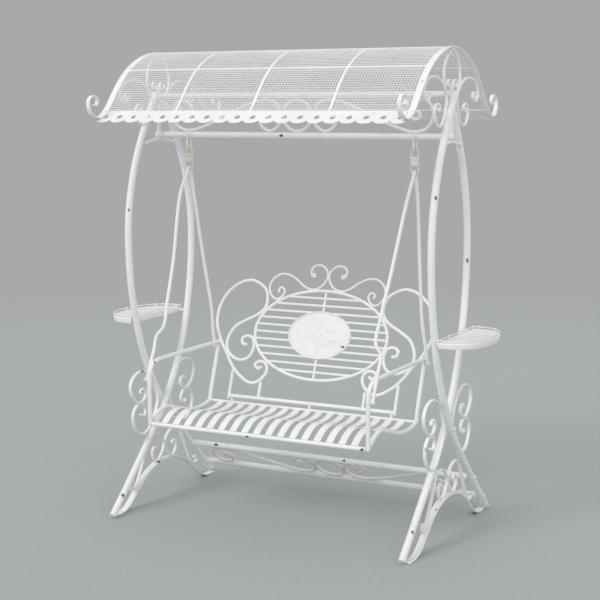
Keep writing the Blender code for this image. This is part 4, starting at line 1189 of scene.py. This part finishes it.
for side, label in sides.items():
    make_swivel(side, label)
    make_rods(side, label)
    tube(on_side(smooth(arm_path), side * arm_x), arm_radius + paint_build, 20)
    bead((side * (arm_x - arm_radius * 0.4), front_rail_y, front_rail_z), across,
         front_rail_radius, 0.0025, side * 2.0)
    piece(label + "arm", label + "arm_tube", "seat")
    tube(on_side(smooth(side_rail_path), side * arm_x), arm_radius + paint_build, 20)
    piece(label + "seat_end_tube", label + "seat_side_rail", "seat")

for facing, y, z, radius in (("front", front_rail_y, front_rail_z, front_rail_radius),
                             ("rear", rear_rail_y, rear_rail_z, rear_rail_radius)):
    crossbar(inner_arm_x, y, z, radius + 1.5 * paint_build, 18, 0.001)
    piece(facing + "_seat_tube", "seat_" + facing + "_rail", "seat")


def make_slats():
    path = smooth(slat_path, 0.010)
    for x in spread(inner_arm_x, slat_count + 1)[1:-1]:
        sweep(on_side(path, x), flat_profile(slat_width + 3 * paint_build, slat_thickness),
              cap=0.0012)
    drop = slat_thickness / 2 + under_rod_radius - weld_overlap
    for y in (share * seat_depth for share in under_rod_shares):
        crossbar(inner_arm_x, y, height_on(slat_path, y) - drop, under_rod_radius, 10)
    piece("bent_slats", "seat_slats", "seat")


make_slats()

# Backrest
ring_middle = Vector((0.0, ring_centre_rise))
ring = ellipse(ring_middle, ring_half_width, ring_half_height, turns(28))
ring_line = ring + ring[:1]
arm_level = (arm_z - back_base_z) / cos(back_lean)
widest = arm_x - arm_radius - loop_radius - 2 * upright_gap
loop = [Vector((min(point.x, widest), point.y)) if abs(point.y - arm_level) < 3 * arm_radius
        else point for point in scaled(loop_shares, back_half_width)]
loop = keep_clear(loop, [(ring_line, ring_radius + loop_radius + upright_gap)])
top_scroll = keep_clear(scaled(top_scroll_shares, back_half_width), [
    (ring_line, ring_radius + top_scroll_radius + weld_gap),
    (loop, loop_radius + top_scroll_radius + weld_gap),
    (centre_line, top_scroll_radius - 2 * weld_overlap),
])


def leg_top(x):
    # Where a leg meets the underside of the loop
    heights = [height_on([start, end], edge) for edge in (x - back_leg_radius, x + back_leg_radius)
               for start, end in steps_of(loop)
               if min(start.x, end.x) <= edge <= max(start.x, end.x)]
    low = min(heights)
    second = min(height for height in heights if height != low)
    slope = min(steepest_share, (second - low) / (2 * back_leg_radius))
    return low - loop_radius * hypot(1, slope) - weld_gap


def back_tube(path, radius, sides, cap=None, swell=None):
    tube(on_back(path), radius, sides, cap, side=back_front, swell=swell)


for label, path in zip(sides.values(), both_ways(mirrored(loop))):
    line = smooth(curled(path, 100, 0.0105, True), 0.006)
    back_tube(line, loop_radius + paint_build, 16, loop_radius * 0.9, knobbed(line, 1.2))
    piece(label + "loop", label + "backrest_loop", "seat")

sweep(on_back(ellipse(ring_middle, ring_half_width, ring_half_height, turns(120))),
      round_profile(ring_radius + 2.5 * paint_build, 14), side=back_front, closed=True)
piece("oval_ring", "backrest_ring", "seat")

for path in both_ways(top_scroll):
    line = smooth(curled(path, 90, 0.0085, True), 0.005)
    back_tube(line, top_scroll_radius + paint_build, 12, top_scroll_radius * 0.9,
              knobbed(line, 1.35))
    for index in range(1, len(path) - 1):
        distance, spot = nearest(path[index], ring_line)
        if distance < ring_radius + top_scroll_radius + 3 * weld_gap:
            lump(on_back([spot.lerp(path[index], 0.5)])[0], 0.0042, (1.5, 0.9, 0.9), index * 1.3)
piece("crest_scrolls", "backrest_top_scrolls", "seat")


def make_back_rail():
    back_tube([Vector((x, -back_rail_drop)) for x in spread(back_rail_half_length, 20)],
              back_rail_radius + paint_build, 18)
    for side in sides:
        for reach, start in ((back_rail_half_length, -leg_drop), (inner_leg_x, -back_rail_drop)):
            x, top = side * reach, leg_top(reach)
            foot, end = on_back([Vector((x, start)), Vector((x, top + 0.002))])
            short_tube(foot, end, back_leg_radius + 2 * paint_build, 14, side=back_front)
            lump(on_back([Vector((x, top))])[0], 0.0072, (1.0, 0.9, 0.6), reach * 50)
    bottom = rear_rail_z + rear_rail_radius
    top = back_base_z - back_rail_drop * cos(back_lean)
    for x in spread(back_rail_half_length - 3 * bracket_radius, 2):
        turned((x, rear_rail_y + bracket_offset, bottom - 0.001), upward,
               [(0.0, bracket_radius * 1.3), (0.003, bracket_radius * 1.25),
                (0.005, bracket_radius), (top - bottom, bracket_radius)], 18)
    piece("back_foot_rail", "backrest_rail", "seat")


def make_bars():
    for rise in spread(back_bar_pitch * (back_bar_count - 1) / 2, back_bar_count - 1):
        reach = ring_half_width * sqrt(1 - (rise / ring_half_height) ** 2) - ring_radius * 0.5
        back_tube([Vector((x, ring_centre_rise + rise)) for x in spread(reach, 16)],
                  back_bar_radius + 3 * paint_build, 12, 0.0008)
    high = ring_half_height - ring_radius * 0.5
    line = [ring_middle + Vector((0.0, y)) for y in spread(high, 16)]
    sweep(on_back(line), flat_profile(*centre_bar, 0.12), side=back_front)
    piece("back_bars", "backrest_bars", "seat")


make_back_rail()
make_bars()

# Plaque: a plain oval with a raised rim and a generic leafy sprig
stem_shares = (
    ((-0.04, -0.80), (-0.02, -0.45), (0.05, -0.10), (0.05, 0.22), (0.00, 0.46), (0.04, 0.66)),
    ((-0.02, -0.50), (-0.16, -0.30), (-0.34, -0.16), (-0.56, -0.10)),
    ((0.04, -0.16), (-0.08, 0.02), (-0.22, 0.14), (-0.40, 0.20)),
    ((-0.03, -0.66), (0.18, -0.52), (0.40, -0.34), (0.62, -0.26)),
    ((0.05, 0.04), (0.18, 0.18), (0.34, 0.26), (0.50, 0.27)),
)
# Leaves: stem, share of the way along it, lean in degrees and size
leaf_shares = (
    (0, 0.30, 50, 0.14), (0, 0.52, -52, 0.14), (0, 0.72, 46, 0.15), (0, 0.86, -46, 0.14),
    (0, 1.0, 6, 0.17), (1, 0.42, 44, 0.13), (1, 0.68, -44, 0.13), (1, 1.0, 4, 0.17),
    (2, 0.50, 44, 0.13), (2, 0.76, -42, 0.12), (2, 1.0, -4, 0.16), (3, 0.36, 46, 0.14),
    (3, 0.60, -44, 0.14), (3, 0.80, 42, 0.13), (3, 1.0, 0, 0.18), (4, 0.48, 46, 0.12),
    (4, 0.74, -44, 0.12), (4, 1.0, 0, 0.16),
)


def make_plaque():
    wide, tall = plaque_half_width, plaque_half_height
    back = back_bar_radius + gap
    front = back + plaque_thickness
    face = front - 0.0030
    # The rim's rings, then the slightly raised face: inset and place forward
    rings = [(0.002, back), (0.0, back + 0.0006), (0.0006, front - 0.0012),
             (0.0018, front - 0.0002), (0.0032, front), (0.0046, front - 0.0004),
             (0.0056, back + 0.0020), (0.0068, back + 0.0010), (0.0092, back + 0.0010),
             (0.0108, back + 0.0022), (0.0124, face - 0.0002), (0.0150, face)]
    rings += [(0.0150 + (tall - 0.0150) * 0.92 * step / 11, face + 0.0012 * step / 11)
              for step in range(1, 12)]
    skin([on_back(ellipse(ring_middle, wide - inset, tall - inset, turns(120)), forward)
          for inset, forward in rings])

    def laid(points, lift):
        # The points set on the plaque's face
        forward = [face + 0.0012 * min(1.0, max(0.0, 1.1 - hypot(
            point.x / wide, point.y / tall))) + lift for point in points]
        return [on_back([ring_middle + point], level)[0] for point, level in zip(points, forward)]

    lines = [smooth([Vector((x * wide * 0.82, y * tall * 0.86)) for x, y in stem], 0.003)
             for stem in stem_shares]
    for line in lines:
        length = running(line)[-1]
        tube(laid(line, 0.0), 0.0017, 8, side=back_front,
             swell=lambda at: (1.25 - 0.5 * at / length,) * 2)
    for stem, share, lean, size in leaf_shares:
        line = lines[stem]
        index = min(len(line) - 2, round(share * (len(line) - 1)))
        along = (line[index + 1] - line[index]).normalized()
        turn = radians(lean)
        way = Vector((along.x * cos(turn) - along.y * sin(turn),
                      along.x * sin(turn) + along.y * cos(turn)))
        length = size * wide
        bow = Vector((-way.y, way.x)) * copysign(0.12, lean) * length
        points = [line[index] + way * (length * step / 10) + bow * sin(pi * step / 10)
                  for step in range(11)]
        spine = running(points)[-1]

        def swell(at):
            fullness = sin(pi * min(1.0, at / spine) ** 0.8)
            return max(0.04, fullness), max(0.1, fullness ** 0.5)

        sweep(laid(points, -0.0004), flat_profile(0.0120, 0.0056, 0.5, 3), swell=swell,
              side=back_front.cross(across * way.x + up_the_back * way.y))
    piece("oval_plaque", "backrest_plaque", "seat", plaque_coat, sharp=50)


make_plaque()

# Floor, light and camera
floor_mesh = bpy.data.meshes.new("studio_floor")
bmesh.ops.create_circle(shape, cap_ends=True, segments=96, radius=14.0)
shape.to_mesh(floor_mesh)
shape.free()
floor = placed("studio_floor", floor_mesh)
floor.location = (0.0, 0.0, -0.0004)

backdrop_colour = (0.385, 0.40, 0.39, 1.0)
floor_paint = bpy.data.materials.new("studio_floor")
floor_paint.use_nodes = True
tree = floor_paint.node_tree
shader = tree.nodes["Principled BSDF"]
place = grow(tree, "ShaderNodeTexCoord").outputs["Object"]
speckle = noise_at(tree, place, 40.0, 6.0, 0.6)
tone = blend_colours(tree, ramped(tree, speckle, 0.3, 0.7), backdrop_colour,
                     (0.41, 0.425, 0.415, 1.0))
for key, value in (("Base Color", tone), ("Roughness", 0.9), ("Specular IOR Level", 0.2)):
    feed(tree, shader.inputs[key], value)
away = grow(tree, "ShaderNodeVectorMath", {"operation": "LENGTH"}, i0=place).outputs["Value"]
clear = grow(tree, "ShaderNodeBsdfTransparent").outputs[0]
fade = grow(tree, "ShaderNodeMixShader", i0=ramped(tree, away, 3.2, 9.0), i1=shader.outputs[0],
            i2=clear).outputs[0]
feed(tree, tree.nodes["Material Output"].inputs["Surface"], fade)
floor_mesh.materials.append(floor_paint)

world = bpy.data.worlds.new("studio")
world.use_nodes = True
bpy.context.scene.world = world
tree = world.node_tree
surround = tree.nodes["Background"]
surround.inputs["Color"].default_value = (0.93, 0.96, 1.0, 1.0)
surround.inputs["Strength"].default_value = 0.83
seen = grow(tree, "ShaderNodeBackground", Color=backdrop_colour, Strength=1.0).outputs[0]
rays = grow(tree, "ShaderNodeLightPath").outputs
direct = sums(tree, "MAXIMUM", rays["Is Camera Ray"], rays["Is Transmission Ray"])
direct = sums(tree, "MAXIMUM", direct, rays["Is Glossy Ray"])
both = grow(tree, "ShaderNodeMixShader", i0=direct, i1=surround.outputs[0], i2=seen).outputs[0]
feed(tree, tree.nodes["World Output"].inputs["Surface"], both)


def sun(name, strength, angle, turn, colour):
    lamp = bpy.data.lights.new(name, "SUN")
    lamp.energy = strength
    lamp.angle = radians(angle)
    lamp.color = colour
    placed(name, lamp).rotation_euler = [radians(value) for value in turn]


sun("key_light", 1.0, 24, (52, 0, -24), (1.0, 0.985, 0.96))
sun("side_light", 0.40, 50, (64, 0, 58), (0.96, 0.98, 1.0))

lens = bpy.data.cameras.new("camera")
lens.sensor_width = 36.0
lens.lens = 36.0 * 1402.1 / 600.0
lens.clip_end = 60.0
eye = placed("camera", lens)
yaw, pitch, roll = (radians(value) for value in (27.278, -8.015, -0.158))
ahead = Vector((-sin(yaw) * cos(pitch), cos(yaw) * cos(pitch), sin(pitch)))
right = Vector((cos(yaw), sin(yaw), 0.0))
above = right.cross(ahead)
right, above = (right * cos(roll) + above * sin(roll), above * cos(roll) - right * sin(roll))
eye.location = (2.8806, -5.5657, 1.873)
eye.rotation_mode = "QUATERNION"
eye.rotation_quaternion = Matrix(list(zip(right, above, -ahead))).to_quaternion()
bpy.context.scene.camera = eye
bpy.context.scene.view_settings.view_transform = "Standard"
